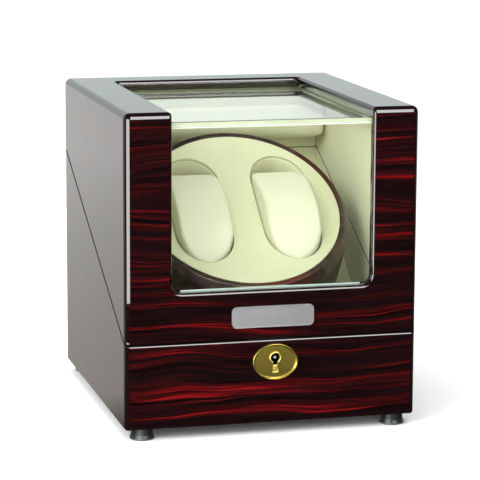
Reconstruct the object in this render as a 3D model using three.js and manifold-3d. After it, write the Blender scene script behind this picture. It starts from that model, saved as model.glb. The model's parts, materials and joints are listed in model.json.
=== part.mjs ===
// Watch winder box for two watches. A lacquered box is split by a slanted seam into a base and a glazed
// lid that is hinged at the back. Inside, a geared motor under an inclined, lined deck turns a drum
// with two watch cups, and each cup holds a padded cushion that carries a watch.
//
// Millimetres, +Z up, the front facing -Y, the origin at the bottom centre of the whole object.
// "Case frame" below means: x from the middle, y back from the front face, z up from the underside of
// the case, so the feet are below zero. "Rotor frame" means: the origin at the middle of the rotor's
// face, z along the rotor's axle towards the glass, y up the slope.

import * as THREE from "three";
import { mergeVertices } from "three/addons/utils/BufferGeometryUtils.js";
import Module from "manifold-3d";

const wasm = await Module();
wasm.setup();

// ---- Driving dimensions ----------------------------------------------------------------------------

const WIDTH = 182;
const DEPTH = 195;
const HEIGHT = 191; // case without its feet
const FOOT_HEIGHT = 7;
const FOOT_RADIUS = 7.5;
const FOOT_INSET_SIDE = 12;
const FOOT_INSET_FRONT = 8.5; // and from the back

const BOARD = 8.5; // side, back and bottom boards
const LINING = 1.5; // leatherette on card
const BASE_FRONT_BOARD = 16; // thick enough to hold the lock
const LID_FRONT_BOARD = 12;
const SEAM_FRONT = 51.8; // height of the seam at the front face
const SEAM_BACK = 145.7; // and at the back face
const SEAM_GAP = 1;

const RAIL = 29; // width of the lid's frame beside the glass, as seen from the front or the top
const BACK_RAIL = 27;
const TOP_FRAME = 12; // thickness of the top frame
const WINDOW_BOTTOM = 82.5;
const GLASS = 3;
const GLASS_SET_BACK = 5.5; // front pane behind the front face
const GLASS_SET_DOWN = 6.5; // top pane under the top face
const GLASS_HOLD = 3.7; // how far a pane reaches into its rebate
const CLEARANCE = 0.3; // gap between pieces that meet

const PAD_FRONT = 157; // padded block across the back of the lid, front face
const PAD_BOTTOM = 149.5;
const PAD_RADIUS = 9; // lower front edge
const PAD_TOP_RADIUS = 4;

const FACE_CENTRE_Y = 74.5; // middle of the rotor's face, case frame
const FACE_CENTRE_Z = 120;
const ROTOR_TILT = 37.8; // degrees, the axle from upright towards the front
const DRUM_RADIUS = 69.5;
const DRUM_RIM = 6.6;
const DRUM_BEVEL = [3.5, 5.5]; // in and down, at the top outer edge
const DRUM_DEPTH = 50;
const DRUM_FLOOR = 4;
const FACE_BOARD = 3;

const CUP_SPACING = 57; // between the two cup middles
const CUP_HALF_WIDTH = 18.25;
const CUP_STRAIGHT = 22; // half length of a cup's straight sides
const CUP_END = 22.25; // rise of a cup's rounded end
const CUP_WALL = 1.2;
const CUP_DEPTH = 44;

const CUSHION_GAP = 1;
const CUSHION_TOP_END = 32; // the upper end stops short and leaves a finger recess
const CUSHION_LOW_END = -43;
const CUSHION_CROWN = 11.5;
const CUSHION_SHOULDER = -2; // where the arched top ends
const CUSHION_BOTTOM = -38;
const CUSHION_ROUND = [14, 12]; // along and up, at the lower corners

const DECK_TOP = -62; // rotor frame
const DECK_BOARD = 4;
const DECK_LOW_END = -96;
const DECK_HIGH_END = 87;
const BATTEN = 9.7;
const BATTEN_REACH = 80; // up and down the slope
const BACK_LINING_BOTTOM = 127; // just above the deck

const SHAFT_RADIUS = 4;
const SHAFT_END = -83;
const FLANGE = { radius: 18, thickness: 4 };
const RING_RADIUS = 6.5;
const GEAR_MODULE = 1.25;
const GEAR_TEETH = 56;
const PINION_TEETH = 14;
const PRESSURE_ANGLE = 25; // degrees
const ADDENDUM = 0.8; // in modules
const DEDENDUM = 1;
const BACKLASH = 0.2;
const GEAR_TOP = -72;
const GEAR_THICKNESS = 6;
const PINION_TOP = -71;
const PINION_LENGTH = 8;
const MOTOR_RADIUS = 13;
const MOTOR_TOP = -84.6;
const MOTOR_END = -112;
const MOTOR_SHAFT_RADIUS = 1.5;

const PLATE_CENTRE_Z = 66; // small silver plate on the lid
const PLATE_SIZE = [51, 13, 0.9];
const PLATE_CORNER = 3;
const LOCK_CENTRE_Z = 38;
const ESCUTCHEON = [14, 11]; // half axes
const ESCUTCHEON_RISE = 1.6;
const ESCUTCHEON_RIM = 1.6;
const ESCUTCHEON_SHEET = 1;
const LOCK_X = 1.5; // the keyhole and its plate sit just right of the middle
const KEYHOLE_Z = 40.5;
const KEYHOLE_RADIUS = 2.75;
const KEYHOLE_SLOT = { half: 1.3, drop: 8.5 };
const KEYHOLE_EASE = 0.4; // wider in the wood and the lock than in the escutcheon
const LOCK_PIN_RADIUS = 1.1;

const HINGE_X = 52;
const HINGE_HALF = 13; // half the length of a hinge
const KNUCKLE_HALF = 4.3; // half the length of the lid leaf's knuckle
const BARREL_RADIUS = 2.6;
const BARREL_OFF = 2.9; // hinge pin behind the back face
const PIN_RADIUS = 1.05;
const LEAF = 1.3;
const LEAF_HEIGHT = 12;

const CONTROL_Z = 28; // middle of the control plate in the back
const CONTROL_HALF = [36, 16];
const CONTROL_SET_IN = 5; // depth of the recess that it lies in, and width of its ledge
const INLET_X = -22;
const KNOB_X = 0;
const SWITCH_X = 22;
const SWITCH_TILT = 10; // degrees either way

// ---- Worked out from them --------------------------------------------------------------------------

const HALF = WIDTH / 2;
const INNER_HALF = HALF - BOARD; // between the side boards
const LINED_HALF = INNER_HALF - LINING;
const BACK_INNER = DEPTH - BOARD;
const WINDOW_HALF = HALF - RAIL;
const SEAM_SLOPE = (SEAM_BACK - SEAM_FRONT) / DEPTH;
const SEAM_ANGLE = Math.atan(SEAM_SLOPE);
const FRONT_Y = -(DEPTH + BARREL_OFF + BARREL_RADIUS - ESCUTCHEON_RISE) / 2;
const GLASS_TOP = HEIGHT - GLASS_SET_DOWN;
const GLASS_UNDER = GLASS_TOP - GLASS;
const GLASS_HALF = WINDOW_HALF + GLASS_HOLD;
const REBATE = GLASS_HOLD + CLEARANCE;
const FRAME_UNDER = HEIGHT - TOP_FRAME;
const FACE_RADIUS = DRUM_RADIUS - DRUM_RIM - CLEARANCE;
const CUP_X = CUP_SPACING / 2;
const PINION_X = (GEAR_MODULE * (GEAR_TEETH + PINION_TEETH)) / 2 + 0.1;
const TILT = THREE.MathUtils.degToRad(ROTOR_TILT);

const baseTop = (y) => SEAM_FRONT + SEAM_SLOPE * y - SEAM_GAP / 2;
const lidUnder = (y) => SEAM_FRONT + SEAM_SLOPE * y + SEAM_GAP / 2;

// ---- Finishes --------------------------------------------------------------------------------------

const finish = (color, roughness, metalness = 0, extra = {}) =>
  ({ color, roughness, metalness, ...extra });

const LACQUER = finish(0x3a1216, 0.12);
const BURL = finish(0x3b2a26, 0.2);
const CREAM = finish(0xece8cf, 0.6);
const PLAIN_WOOD = finish(0xb79a74, 0.8);
const CLEAR = finish(0xdfeee6, 0.05, 0, { transparent: true, opacity: 0.35 });
const BRASS = finish(0xc9a13c, 0.25, 1);
const SILVER = finish(0xb9b9bb, 0.35, 1);
const STEEL = finish(0x9c9ea2, 0.35, 1);
const RUBBER = finish(0x33383a, 0.8);
const BLACK_PLASTIC = finish(0x17181a, 0.5);
const WHITE_PLASTIC = finish(0xe6e4dc, 0.5);
const BOARD_GREEN = finish(0x1f5a35, 0.5);

// ---- Solids ----------------------------------------------------------------------------------------

function toManifold(geometry) {
  const bare = geometry.clone();
  bare.deleteAttribute("normal");
  bare.deleteAttribute("uv");
  const merged = mergeVertices(bare, 1e-4);
  const corners = merged.index.array;
  const kept = [];
  for (let i = 0; i < corners.length; i += 3) {
    const [a, b, c] = corners.slice(i, i + 3);
    if (a !== b && b !== c && c !== a) kept.push(a, b, c);
  }
  const vertProperties = new Float32Array(merged.attributes.position.array);
  const triVerts = new Uint32Array(kept);
  return new wasm.Manifold(new wasm.Mesh({ numProp: 3, vertProperties, triVerts }));
}

function toGeometry(manifold) {
  const mesh = manifold.getMesh();
  const geometry = new THREE.BufferGeometry();
  geometry.setAttribute("position", new THREE.BufferAttribute(mesh.vertProperties, 3));
  geometry.setIndex(new THREE.BufferAttribute(mesh.triVerts, 1));
  return geometry;
}

const combine = (how, first, others) =>
  toGeometry(others.map(toManifold).reduce((made, next) => made[how](next), toManifold(first)));
const cut = (first, ...others) => combine("subtract", first, others);
const join = (first, ...others) => combine("add", first, others);
const common = (first, ...others) => combine("intersect", first, others);

function block(x0, x1, y0, y1, z0, z1) {
  const box = new THREE.BoxGeometry(x1 - x0, y1 - y0, z1 - z0);
  return box.translate((x0 + x1) / 2, (y0 + y1) / 2, (z0 + z1) / 2);
}

// An outline from corner points; a third number on a corner is how far its rounding reaches.
function outline(corners) {
  const shape = new THREE.Shape();
  corners.forEach(([x, y, round = 0], i) => {
    const corner = new THREE.Vector2(x, y);
    const before = new THREE.Vector2(...corners.at(i - 1));
    const after = new THREE.Vector2(...corners[(i + 1) % corners.length]);
    const from = corner.clone().add(before.sub(corner).setLength(round));
    const to = corner.clone().add(after.sub(corner).setLength(round));
    if (i === 0) shape.moveTo(from.x, from.y);
    else shape.lineTo(from.x, from.y);
    if (round > 0) shape.quadraticCurveTo(x, y, to.x, to.y);
  });
  return shape;
}

function disc(radiusX, radiusY = radiusX, x = 0, y = 0) {
  const shape = new THREE.Shape();
  shape.absellipse(x, y, radiusX, radiusY, 0, 2 * Math.PI, false);
  return shape;
}

// Prisms: an (x, y) outline raised along Z, a (y, z) outline drawn along X, an (x, z) one along Y.
function upward(shape, z0, z1, curveSegments = 8) {
  const options = { depth: z1 - z0, bevelEnabled: false, curveSegments };
  return new THREE.ExtrudeGeometry(shape, options).translate(0, 0, z0);
}

function across(shape, x0, x1, curveSegments = 8) {
  const turn = new THREE.Matrix4().makeBasis(
    new THREE.Vector3(0, 1, 0), new THREE.Vector3(0, 0, 1), new THREE.Vector3(1, 0, 0));
  return upward(shape, 0, x1 - x0, curveSegments).applyMatrix4(turn).translate(x0, 0, 0);
}

function along(shape, y0, y1, curveSegments = 8) {
  return upward(shape, 0, y1 - y0, curveSegments).rotateX(Math.PI / 2).translate(0, y1, 0);
}

// A turned piece from [radius, height] points; the profile runs outwards along its lower end first.
// Its axis is Z, or Y through a given x and z.
function lathe(profile, segments) {
  const points = profile.map(([radius, height]) => new THREE.Vector2(radius, height));
  return new THREE.LatheGeometry(points, segments);
}

const turned = (profile, segments = 32) => lathe(profile, segments).rotateX(Math.PI / 2);
const turnedBack = (profile, x, z) => lathe(profile, 24).translate(x, 0, z);

const rodAlongX = (radius, x0, x1, y, z, segments = 20) =>
  new THREE.CylinderGeometry(radius, radius, x1 - x0, segments)
    .rotateZ(Math.PI / 2).translate((x0 + x1) / 2, y, z);

const rodAlongY = (radius, y0, y1, x, z, segments = 20) =>
  new THREE.CylinderGeometry(radius, radius, y1 - y0, segments).translate(x, (y0 + y1) / 2, z);

// A mirrored pair of blocks is the same block at -x; this gives its x limits for either side.
const onSide = (side, inner, outer) => (side < 0 ? [-outer, -inner] : [inner, outer]);

// ---- The scene graph -------------------------------------------------------------------------------

const winder = new THREE.Group();

const caseFrame = new THREE.Group();
caseFrame.position.set(0, FRONT_Y, FOOT_HEIGHT);
winder.add(caseFrame);

const rotorFrame = new THREE.Group();
rotorFrame.position.set(0, FACE_CENTRE_Y, FACE_CENTRE_Z);
rotorFrame.rotation.x = TILT;
caseFrame.add(rotorFrame);

function put(name, geometry, look, frame = caseFrame) {
  const mesh = new THREE.Mesh(geometry, new THREE.MeshStandardMaterial(look));
  mesh.name = name;
  frame.add(mesh);
}

const SIDES = [["left", -1], ["right", 1]];

// ---- Base: boards, linings and feet ----------------------------------------------------------------

// A (y, z) outline with an underside at z0 that follows the seam on top.
const underSeam = (y0, y1, z0) => outline([[y0, z0], [y1, z0], [y1, baseTop(y1)], [y0, baseTop(y0)]]);

// A keyhole: a round hole with a slot below it, grown by a margin.
function keyholeCutter(margin, y0, y1) {
  const slotHalf = KEYHOLE_SLOT.half + margin;
  const slotEnd = KEYHOLE_Z - KEYHOLE_SLOT.drop - margin;
  return join(
    rodAlongY(KEYHOLE_RADIUS + margin, y0, y1, LOCK_X, KEYHOLE_Z),
    block(LOCK_X - slotHalf, LOCK_X + slotHalf, y0, y1, slotEnd, KEYHOLE_Z));
}

const LOCK = { half: 16, front: 3, back: 14.4, bottom: 26, wall: 1.2 };

function baseFrontPanel() {
  const board = across(underSeam(0, BASE_FRONT_BOARD, 0), -INNER_HALF, INNER_HALF);
  const grow = CLEARANCE;
  const mortise = block(-LOCK.half - grow, LOCK.half + grow, LOCK.front - grow, LOCK.back + grow,
    LOCK.bottom - grow, HEIGHT);
  return cut(board, mortise, keyholeCutter(KEYHOLE_EASE, -1, LOCK.front));
}

function baseBackPanel() {
  const board = across(underSeam(BACK_INNER, DEPTH, 0), -INNER_HALF, INNER_HALF);
  const [halfX, halfZ] = CONTROL_HALF;
  const ledge = CONTROL_SET_IN;
  const recess = block(-halfX - CLEARANCE, halfX + CLEARANCE, DEPTH - ledge - CLEARANCE, DEPTH + 1,
    CONTROL_Z - halfZ - CLEARANCE, CONTROL_Z + halfZ + CLEARANCE);
  const opening = block(-halfX + ledge, halfX - ledge, BACK_INNER - 1, DEPTH,
    CONTROL_Z - halfZ + ledge, CONTROL_Z + halfZ - ledge);
  return cut(board, recess, opening);
}

function foot() {
  const [taper, lip] = [0.6, 1.5];
  return turned([[0, -FOOT_HEIGHT], [FOOT_RADIUS - taper, -FOOT_HEIGHT],
    [FOOT_RADIUS, -FOOT_HEIGHT + lip], [FOOT_RADIUS, 0], [0, 0]], 28);
}

for (const [word, side] of SIDES) {
  put(`base_${word}_panel`, across(underSeam(0, DEPTH, 0), ...onSide(side, INNER_HALF, HALF)), LACQUER);
  put(`base_${word}_lining`,
    across(underSeam(BASE_FRONT_BOARD, BACK_INNER, BOARD), ...onSide(side, LINED_HALF, INNER_HALF)), CREAM);
  for (const [end, y] of [["front", FOOT_INSET_FRONT], ["back", DEPTH - FOOT_INSET_FRONT]]) {
    put(`foot_${end}_${word}`, foot().translate(side * (HALF - FOOT_INSET_SIDE), y, 0), RUBBER);
  }
}
put("base_front_panel", baseFrontPanel(), LACQUER);
put("base_back_panel", baseBackPanel(), LACQUER);
put("base_bottom_panel",
  block(-INNER_HALF, INNER_HALF, BASE_FRONT_BOARD, BACK_INNER, 0, BOARD), LACQUER);
put("base_back_lining",
  across(underSeam(BACK_INNER - LINING, BACK_INNER, BACK_LINING_BOTTOM), -LINED_HALF, LINED_HALF), CREAM);

// ---- Deck, its battens and the rotor's bearing -----------------------------------------------------

const BEARING = { bore: 4.2, body: 7.9, flange: 11, top: -54.7, low: -68.6 };

function deckSheet(z0, z1) {
  const half = LINED_HALF - CLEARANCE;
  const sheet = outline([[-half, DECK_LOW_END], [half, DECK_LOW_END],
    [half, DECK_HIGH_END], [-half, DECK_HIGH_END]]);
  sheet.holes.push(disc(BEARING.body + CLEARANCE));
  return upward(sheet, z0, z1);
}

const deckUnder = DECK_TOP - DECK_BOARD - CLEARANCE;
put("deck_board", deckSheet(deckUnder, DECK_TOP - CLEARANCE), PLAIN_WOOD, rotorFrame);
put("deck_lining", deckSheet(DECK_TOP, DECK_TOP + LINING), CREAM, rotorFrame);

for (const [word, side] of SIDES) {
  const outer = LINED_HALF - CLEARANCE;
  const top = deckUnder - CLEARANCE;
  put(`deck_batten_${word}`,
    block(...onSide(side, outer - BATTEN, outer), -BATTEN_REACH, BATTEN_REACH, top - BATTEN, top),
    PLAIN_WOOD, rotorFrame);
}

const flangeUnder = DECK_TOP + LINING + CLEARANCE;
put("deck_bearing", turned([
  [BEARING.bore, BEARING.low], [BEARING.body, BEARING.low], [BEARING.body, flangeUnder],
  [BEARING.flange, flangeUnder], [BEARING.flange, BEARING.top], [BEARING.bore, BEARING.top],
  [BEARING.bore, BEARING.low]]), WHITE_PLASTIC, rotorFrame);

// ---- Drive: motor, bracket, pinion and driven gear -------------------------------------------------

const involute = (angle) => Math.tan(angle) - angle;

// A spur gear's outline with involute flanks. A tooth points along +x unless turned by half a pitch.
function gearOutline(teeth, turn) {
  const pitch = (GEAR_MODULE * teeth) / 2;
  const pressure = THREE.MathUtils.degToRad(PRESSURE_ANGLE);
  const base = pitch * Math.cos(pressure);
  const tip = pitch + ADDENDUM * GEAR_MODULE;
  const root = pitch - DEDENDUM * GEAR_MODULE;
  const pitchHalf = Math.PI / (2 * teeth) - BACKLASH / (4 * pitch);
  const flankStart = Math.max(base, root);
  const halfAt = (radius) =>
    pitchHalf + involute(pressure) - involute(Math.acos(Math.min(1, base / radius)));
  const flank = [root, flankStart, (flankStart + tip) / 2, tip];
  const points = [];
  for (let tooth = 0; tooth < teeth; tooth += 1) {
    const middle = (tooth * 2 * Math.PI) / teeth + turn;
    const at = (radius, side) => {
      const angle = middle + side * halfAt(Math.max(radius, flankStart));
      points.push(new THREE.Vector2(radius * Math.cos(angle), radius * Math.sin(angle)));
    };
    flank.forEach((radius) => at(radius, -1));
    flank.toReversed().forEach((radius) => at(radius, 1));
  }
  return points.filter((point, i) => point.distanceTo(points.at(i - 1)) > 1e-3);
}

function drivenGear() {
  const shape = new THREE.Shape(gearOutline(GEAR_TEETH, 0));
  shape.holes.push(disc(SHAFT_RADIUS + CLEARANCE));
  const holes = { count: 6, radius: 6, out: 20 };
  for (let i = 0; i < holes.count; i += 1) {
    const angle = ((i + 0.5) * 2 * Math.PI) / holes.count;
    shape.holes.push(
      disc(holes.radius, holes.radius, holes.out * Math.cos(angle), holes.out * Math.sin(angle)));
  }
  return upward(shape, GEAR_TOP - GEAR_THICKNESS, GEAR_TOP);
}

// The pinion is moulded on the motor's output shaft, which ends inside the motor's nose.
function motorPinion() {
  const teeth = upward(new THREE.Shape(gearOutline(PINION_TEETH, Math.PI / PINION_TEETH)),
    PINION_TOP - PINION_LENGTH, PINION_TOP);
  const [low, high] = [MOTOR_TOP - 2, PINION_TOP - 1];
  const shaft = turned([[0, low], [MOTOR_SHAFT_RADIUS, low], [MOTOR_SHAFT_RADIUS, high], [0, high]], 12);
  return join(teeth, shaft).translate(PINION_X, 0, 0);
}

function motorBody() {
  const socket = { radius: MOTOR_SHAFT_RADIUS + 0.5, bottom: MOTOR_TOP - 3.4 };
  return turned([[0, MOTOR_END], [MOTOR_RADIUS, MOTOR_END], [MOTOR_RADIUS, MOTOR_TOP],
    [socket.radius, MOTOR_TOP], [socket.radius, socket.bottom], [0, socket.bottom]], 28)
    .translate(PINION_X, 0, 0);
}

// A Z bracket: a flange against the deck, a leg down past the pinion and a shelf for the motor.
function motorBracket() {
  const [sheet, shelf, flange, half, bore] = [1.5, 14, 30, 9, 4];
  const top = deckUnder - CLEARANCE;
  const under = MOTOR_TOP + CLEARANCE;
  const profile = outline([[-shelf, under], [shelf + sheet, under], [shelf + sheet, top - sheet],
    [flange, top - sheet], [flange, top], [shelf, top], [shelf, under + sheet], [-shelf, under + sheet]]);
  const strip = across(profile, PINION_X - half, PINION_X + half);
  const hole = upward(disc(bore), under - 1, under + sheet + 1);
  return cut(strip, hole.translate(PINION_X, 0, 0));
}

put("motor_body", motorBody(), STEEL, rotorFrame);
put("motor_bracket", motorBracket(), STEEL, rotorFrame);
put("motor_pinion", motorPinion(), WHITE_PLASTIC, rotorFrame);
put("driven_gear", drivenGear(), WHITE_PLASTIC, rotorFrame);

// ---- Rotor: drum, face, cups, shaft and ring -------------------------------------------------------

const GROOVE = { top: -79.4, low: -80.6, radius: 3.2 };

function rotorShaft() {
  const top = -DRUM_DEPTH - CLEARANCE;
  const low = top - FLANGE.thickness;
  return turned([[0, SHAFT_END], [SHAFT_RADIUS, SHAFT_END], [SHAFT_RADIUS, GROOVE.low],
    [GROOVE.radius, GROOVE.low], [GROOVE.radius, GROOVE.top], [SHAFT_RADIUS, GROOVE.top],
    [SHAFT_RADIUS, low], [FLANGE.radius, low], [FLANGE.radius, top], [0, top]]);
}

// An open ring that snaps into the shaft's groove and keeps the drum from lifting.
function retainingRing() {
  const shape = new THREE.Shape();
  const open = 0.5; // radians either side of +x
  const play = 0.2;
  shape.absarc(0, 0, RING_RADIUS, open, 2 * Math.PI - open, false);
  shape.absarc(0, 0, GROOVE.radius + CLEARANCE, 2 * Math.PI - open, open, true);
  return upward(shape, GROOVE.low + play, GROOVE.top - play, 20);
}

// A cup's outline: straight sides with half an ellipse at each end.
function cupOutline(x, grow) {
  const halfWidth = CUP_HALF_WIDTH + grow;
  const end = CUP_END + grow;
  const shape = new THREE.Shape();
  shape.absellipse(x, CUP_STRAIGHT, halfWidth, end, 0, Math.PI, false);
  shape.absellipse(x, -CUP_STRAIGHT, halfWidth, end, Math.PI, 2 * Math.PI, false);
  return shape;
}

function rotorFace() {
  const shape = disc(FACE_RADIUS);
  for (const [, side] of SIDES) shape.holes.push(cupOutline(side * CUP_X, CUP_WALL + CLEARANCE));
  return upward(shape, -FACE_BOARD, 0, 28);
}

function watchCup(x) {
  const outside = upward(cupOutline(x, CUP_WALL), -CUP_DEPTH - CUP_WALL, 0, 14);
  return cut(outside, upward(cupOutline(x, 0), -CUP_DEPTH, 1, 14));
}

// The cushion's side view, in (y, z): an arched top, a square upper end and a rounded underside.
function cushionProfile() {
  const [roundY, roundZ] = CUSHION_ROUND;
  const halfChord = (CUSHION_TOP_END - CUSHION_LOW_END) / 2;
  const rise = CUSHION_CROWN - CUSHION_SHOULDER;
  const radius = (halfChord ** 2 + rise ** 2) / (2 * rise);
  const middle = (CUSHION_TOP_END + CUSHION_LOW_END) / 2;
  const reach = Math.asin(halfChord / radius);
  const shape = new THREE.Shape();
  shape.moveTo(CUSHION_TOP_END, CUSHION_SHOULDER);
  shape.absarc(middle, CUSHION_CROWN - radius, radius, Math.PI / 2 - reach, Math.PI / 2 + reach, false);
  shape.lineTo(CUSHION_LOW_END, CUSHION_BOTTOM + roundZ);
  shape.quadraticCurveTo(CUSHION_LOW_END, CUSHION_BOTTOM, CUSHION_LOW_END + roundY, CUSHION_BOTTOM);
  shape.lineTo(CUSHION_TOP_END - roundY, CUSHION_BOTTOM);
  shape.quadraticCurveTo(CUSHION_TOP_END, CUSHION_BOTTOM, CUSHION_TOP_END, CUSHION_BOTTOM + roundZ);
  return shape;
}

function watchCushion(x) {
  const reach = CUP_HALF_WIDTH;
  const side = across(cushionProfile(), x - reach, x + reach, 10);
  const plan = upward(cupOutline(x, -CUSHION_GAP), CUSHION_BOTTOM - 1, CUSHION_CROWN + 1, 12);
  return common(side, plan);
}

const innerRim = DRUM_RADIUS - DRUM_RIM;
const floorRadius = innerRim - CLEARANCE;
put("rotor_drum", turned([[innerRim, -DRUM_DEPTH], [DRUM_RADIUS, -DRUM_DEPTH],
  [DRUM_RADIUS, -DRUM_BEVEL[1]], [DRUM_RADIUS - DRUM_BEVEL[0], 0],
  [innerRim, 0], [innerRim, -DRUM_DEPTH]], 72), BURL, rotorFrame);
put("rotor_drum_floor", turned([[0, -DRUM_DEPTH], [floorRadius, -DRUM_DEPTH],
  [floorRadius, -DRUM_DEPTH + DRUM_FLOOR], [0, -DRUM_DEPTH + DRUM_FLOOR]], 48), PLAIN_WOOD, rotorFrame);
put("rotor_face", rotorFace(), CREAM, rotorFrame);
put("rotor_shaft", rotorShaft(), STEEL, rotorFrame);
put("retaining_ring", retainingRing(), STEEL, rotorFrame);
for (const [word, side] of SIDES) {
  put(`watch_cup_${word}`, watchCup(side * CUP_X), CREAM, rotorFrame);
  put(`cushion_${word}`, watchCushion(side * CUP_X), CREAM, rotorFrame);
}

// ---- Lid: boards, panes, linings and plate ---------------------------------------------------------

// A (y, z) outline with its top at z1 that follows the seam below.
const overSeam = (y0, y1, z1) => outline([[y0, lidUnder(y0)], [y1, lidUnder(y1)], [y1, z1], [y0, z1]]);

function lidStile(side) {
  const board = across(overSeam(0, LID_FRONT_BOARD, HEIGHT), ...onSide(side, WINDOW_HALF, INNER_HALF));
  const rebate = block(...onSide(side, WINDOW_HALF - 1, WINDOW_HALF + REBATE),
    GLASS_SET_BACK - CLEARANCE, LID_FRONT_BOARD + 1, WINDOW_BOTTOM - REBATE, GLASS_TOP + CLEARANCE);
  return cut(board, rebate);
}

function lidFrontRail() {
  const board = across(overSeam(0, LID_FRONT_BOARD, WINDOW_BOTTOM), -WINDOW_HALF, WINDOW_HALF);
  const groove = block(-HALF, HALF, GLASS_SET_BACK - CLEARANCE, GLASS_SET_BACK + GLASS + CLEARANCE,
    WINDOW_BOTTOM - REBATE, HEIGHT);
  return cut(board, groove, linkRecess());
}

function lidSideRail(side) {
  const inner = side * WINDOW_HALF;
  const lip = side * (WINDOW_HALF + REBATE);
  const outer = side * INNER_HALF;
  const step = GLASS_TOP + CLEARANCE;
  const section = outline([[inner, HEIGHT], [outer, HEIGHT], [outer, FRAME_UNDER], [lip, FRAME_UNDER],
    [lip, step], [inner, step]]);
  return along(section, LID_FRONT_BOARD, BACK_INNER);
}

function lidBackRail() {
  const front = DEPTH - BACK_RAIL;
  const lip = front + REBATE;
  const step = GLASS_TOP + CLEARANCE;
  const section = outline([[front, step], [lip, step], [lip, FRAME_UNDER], [BACK_INNER, FRAME_UNDER],
    [BACK_INNER, HEIGHT], [front, HEIGHT]]);
  return across(section, -WINDOW_HALF, WINDOW_HALF);
}

// The padded block under the back rail, with its lining running down the back board to the seam.
function lidBackPad() {
  const top = FRAME_UNDER - CLEARANCE;
  const lining = BACK_INNER - LINING;
  const section = outline([[PAD_FRONT, top, PAD_TOP_RADIUS], [PAD_FRONT, PAD_BOTTOM, PAD_RADIUS],
    [lining, PAD_BOTTOM],
    [lining, lidUnder(lining)], [BACK_INNER, lidUnder(BACK_INNER)], [BACK_INNER, top]]);
  return across(section, -LINED_HALF + CLEARANCE, LINED_HALF - CLEARANCE);
}

function namePlate() {
  const [width, height, thickness] = PLATE_SIZE;
  const [x, z] = [width / 2, height / 2];
  const shape = outline([[-x, -z], [x, -z], [x, z], [-x, z]]
    .map(([cornerX, cornerZ]) => [cornerX, PLATE_CENTRE_Z + cornerZ, PLATE_CORNER]));
  return along(shape, -thickness, 0, 4);
}

function lidPieces() {
  for (const [word, side] of SIDES) {
    put(`lid_${word}_panel`, across(overSeam(0, DEPTH, HEIGHT), ...onSide(side, INNER_HALF, HALF)), LACQUER);
    put(`lid_${word}_stile`, lidStile(side), LACQUER);
    put(`lid_${word}_top_rail`, lidSideRail(side), LACQUER);
    put(`lid_${word}_lining`, across(overSeam(LID_FRONT_BOARD, BACK_INNER, FRAME_UNDER),
      ...onSide(side, LINED_HALF, INNER_HALF)), CREAM);
  }
  put("lid_front_rail", lidFrontRail(), LACQUER);
  put("lid_back_top_rail", lidBackRail(), LACQUER);
  put("lid_back_panel", across(overSeam(BACK_INNER, DEPTH, HEIGHT), -INNER_HALF, INNER_HALF), LACQUER);
  put("lid_back_pad", lidBackPad(), CREAM);
  put("top_glass", block(-GLASS_HALF, GLASS_HALF, GLASS_SET_BACK, DEPTH - BACK_RAIL + GLASS_HOLD,
    GLASS_UNDER, GLASS_TOP), CLEAR);
  put("front_glass", block(-GLASS_HALF, GLASS_HALF, GLASS_SET_BACK, GLASS_SET_BACK + GLASS,
    WINDOW_BOTTOM - GLASS_HOLD, GLASS_UNDER - CLEARANCE), CLEAR);
  put("name_plate", namePlate(), SILVER);
}

// ---- Lock ------------------------------------------------------------------------------------------

// The link plate and its staple stand square to the seam. Their frame: y along the seam towards the
// back, z square to it, the origin on the seam above the middle of the lock case.
const LINK_Y = 6.6;
const LINK = { x: [-10, 16], y: [-4.5, 5], z: [0.6, 1.8] };
const STAPLE = { x: [5, 7], half: 2.5, depth: 8, holeHalf: 1.7, holeMiddle: -4.6 };

const squareToSeam = (geometry) =>
  geometry.rotateX(SEAM_ANGLE).translate(0, LINK_Y, SEAM_FRONT + SEAM_SLOPE * LINK_Y);

function linkRecess() {
  const { x, y, z } = LINK;
  return squareToSeam(block(x[0] - CLEARANCE, x[1] + CLEARANCE, y[0] - CLEARANCE, y[1] + CLEARANCE,
    -2, z[1] + CLEARANCE));
}

function lidLockLink() {
  const plate = block(...LINK.x, ...LINK.y, ...LINK.z);
  const { x, half, depth, holeHalf, holeMiddle } = STAPLE;
  const staple = block(...x, -half, half, -depth, 1);
  const hole = block(x[0] - 1, x[1] + 1, -holeHalf, holeHalf, holeMiddle - holeHalf, holeMiddle + holeHalf);
  return squareToSeam(cut(join(plate, staple), hole));
}

// An open-topped case; the pin that guides the key is riveted to its back wall.
function lockCase() {
  const { half, front, back, bottom, wall } = LOCK;
  const top = (y) => baseTop(y) - 0.2;
  const body = across(outline([[front, bottom], [back, bottom], [back, top(back)], [front, top(front)]]),
    -half, half);
  const [y0, y1] = [front + wall, back - wall];
  const inside = across(outline([[y0, bottom + wall], [y1, bottom + wall], [y1, top(y1) - wall - 0.5],
    [y0, top(y0) - wall - 0.5]]), -half + wall, half - wall);
  const mouth = { side: 1.2, depth: 6.6, from: bottom + 10 };
  const slot = block(STAPLE.x[0] - mouth.side, STAPLE.x[1] + mouth.side, y0, y0 + mouth.depth,
    mouth.from, HEIGHT);
  const pin = rodAlongY(LOCK_PIN_RADIUS, 1, y1 + wall / 2, LOCK_X, KEYHOLE_Z, 12);
  return join(cut(body, inside, slot, keyholeCutter(KEYHOLE_EASE, 0, y0 + 1)), pin);
}

const BOLT = { x: [-12, 3.6], half: 1, tail: -9, tailBottom: 38 };

// The bolt slides sideways through the staple; its tail hangs where the key's bit turns.
function lockBolt() {
  const { x, half, tail, tailBottom } = BOLT;
  const y = LINK_Y - STAPLE.holeMiddle * Math.sin(SEAM_ANGLE);
  const z = SEAM_FRONT + SEAM_SLOPE * LINK_Y + STAPLE.holeMiddle * Math.cos(SEAM_ANGLE);
  return join(block(...x, y - half, y + half, z - half, z + half),
    block(x[0], tail, y - half, y + half, tailBottom, z));
}

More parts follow.
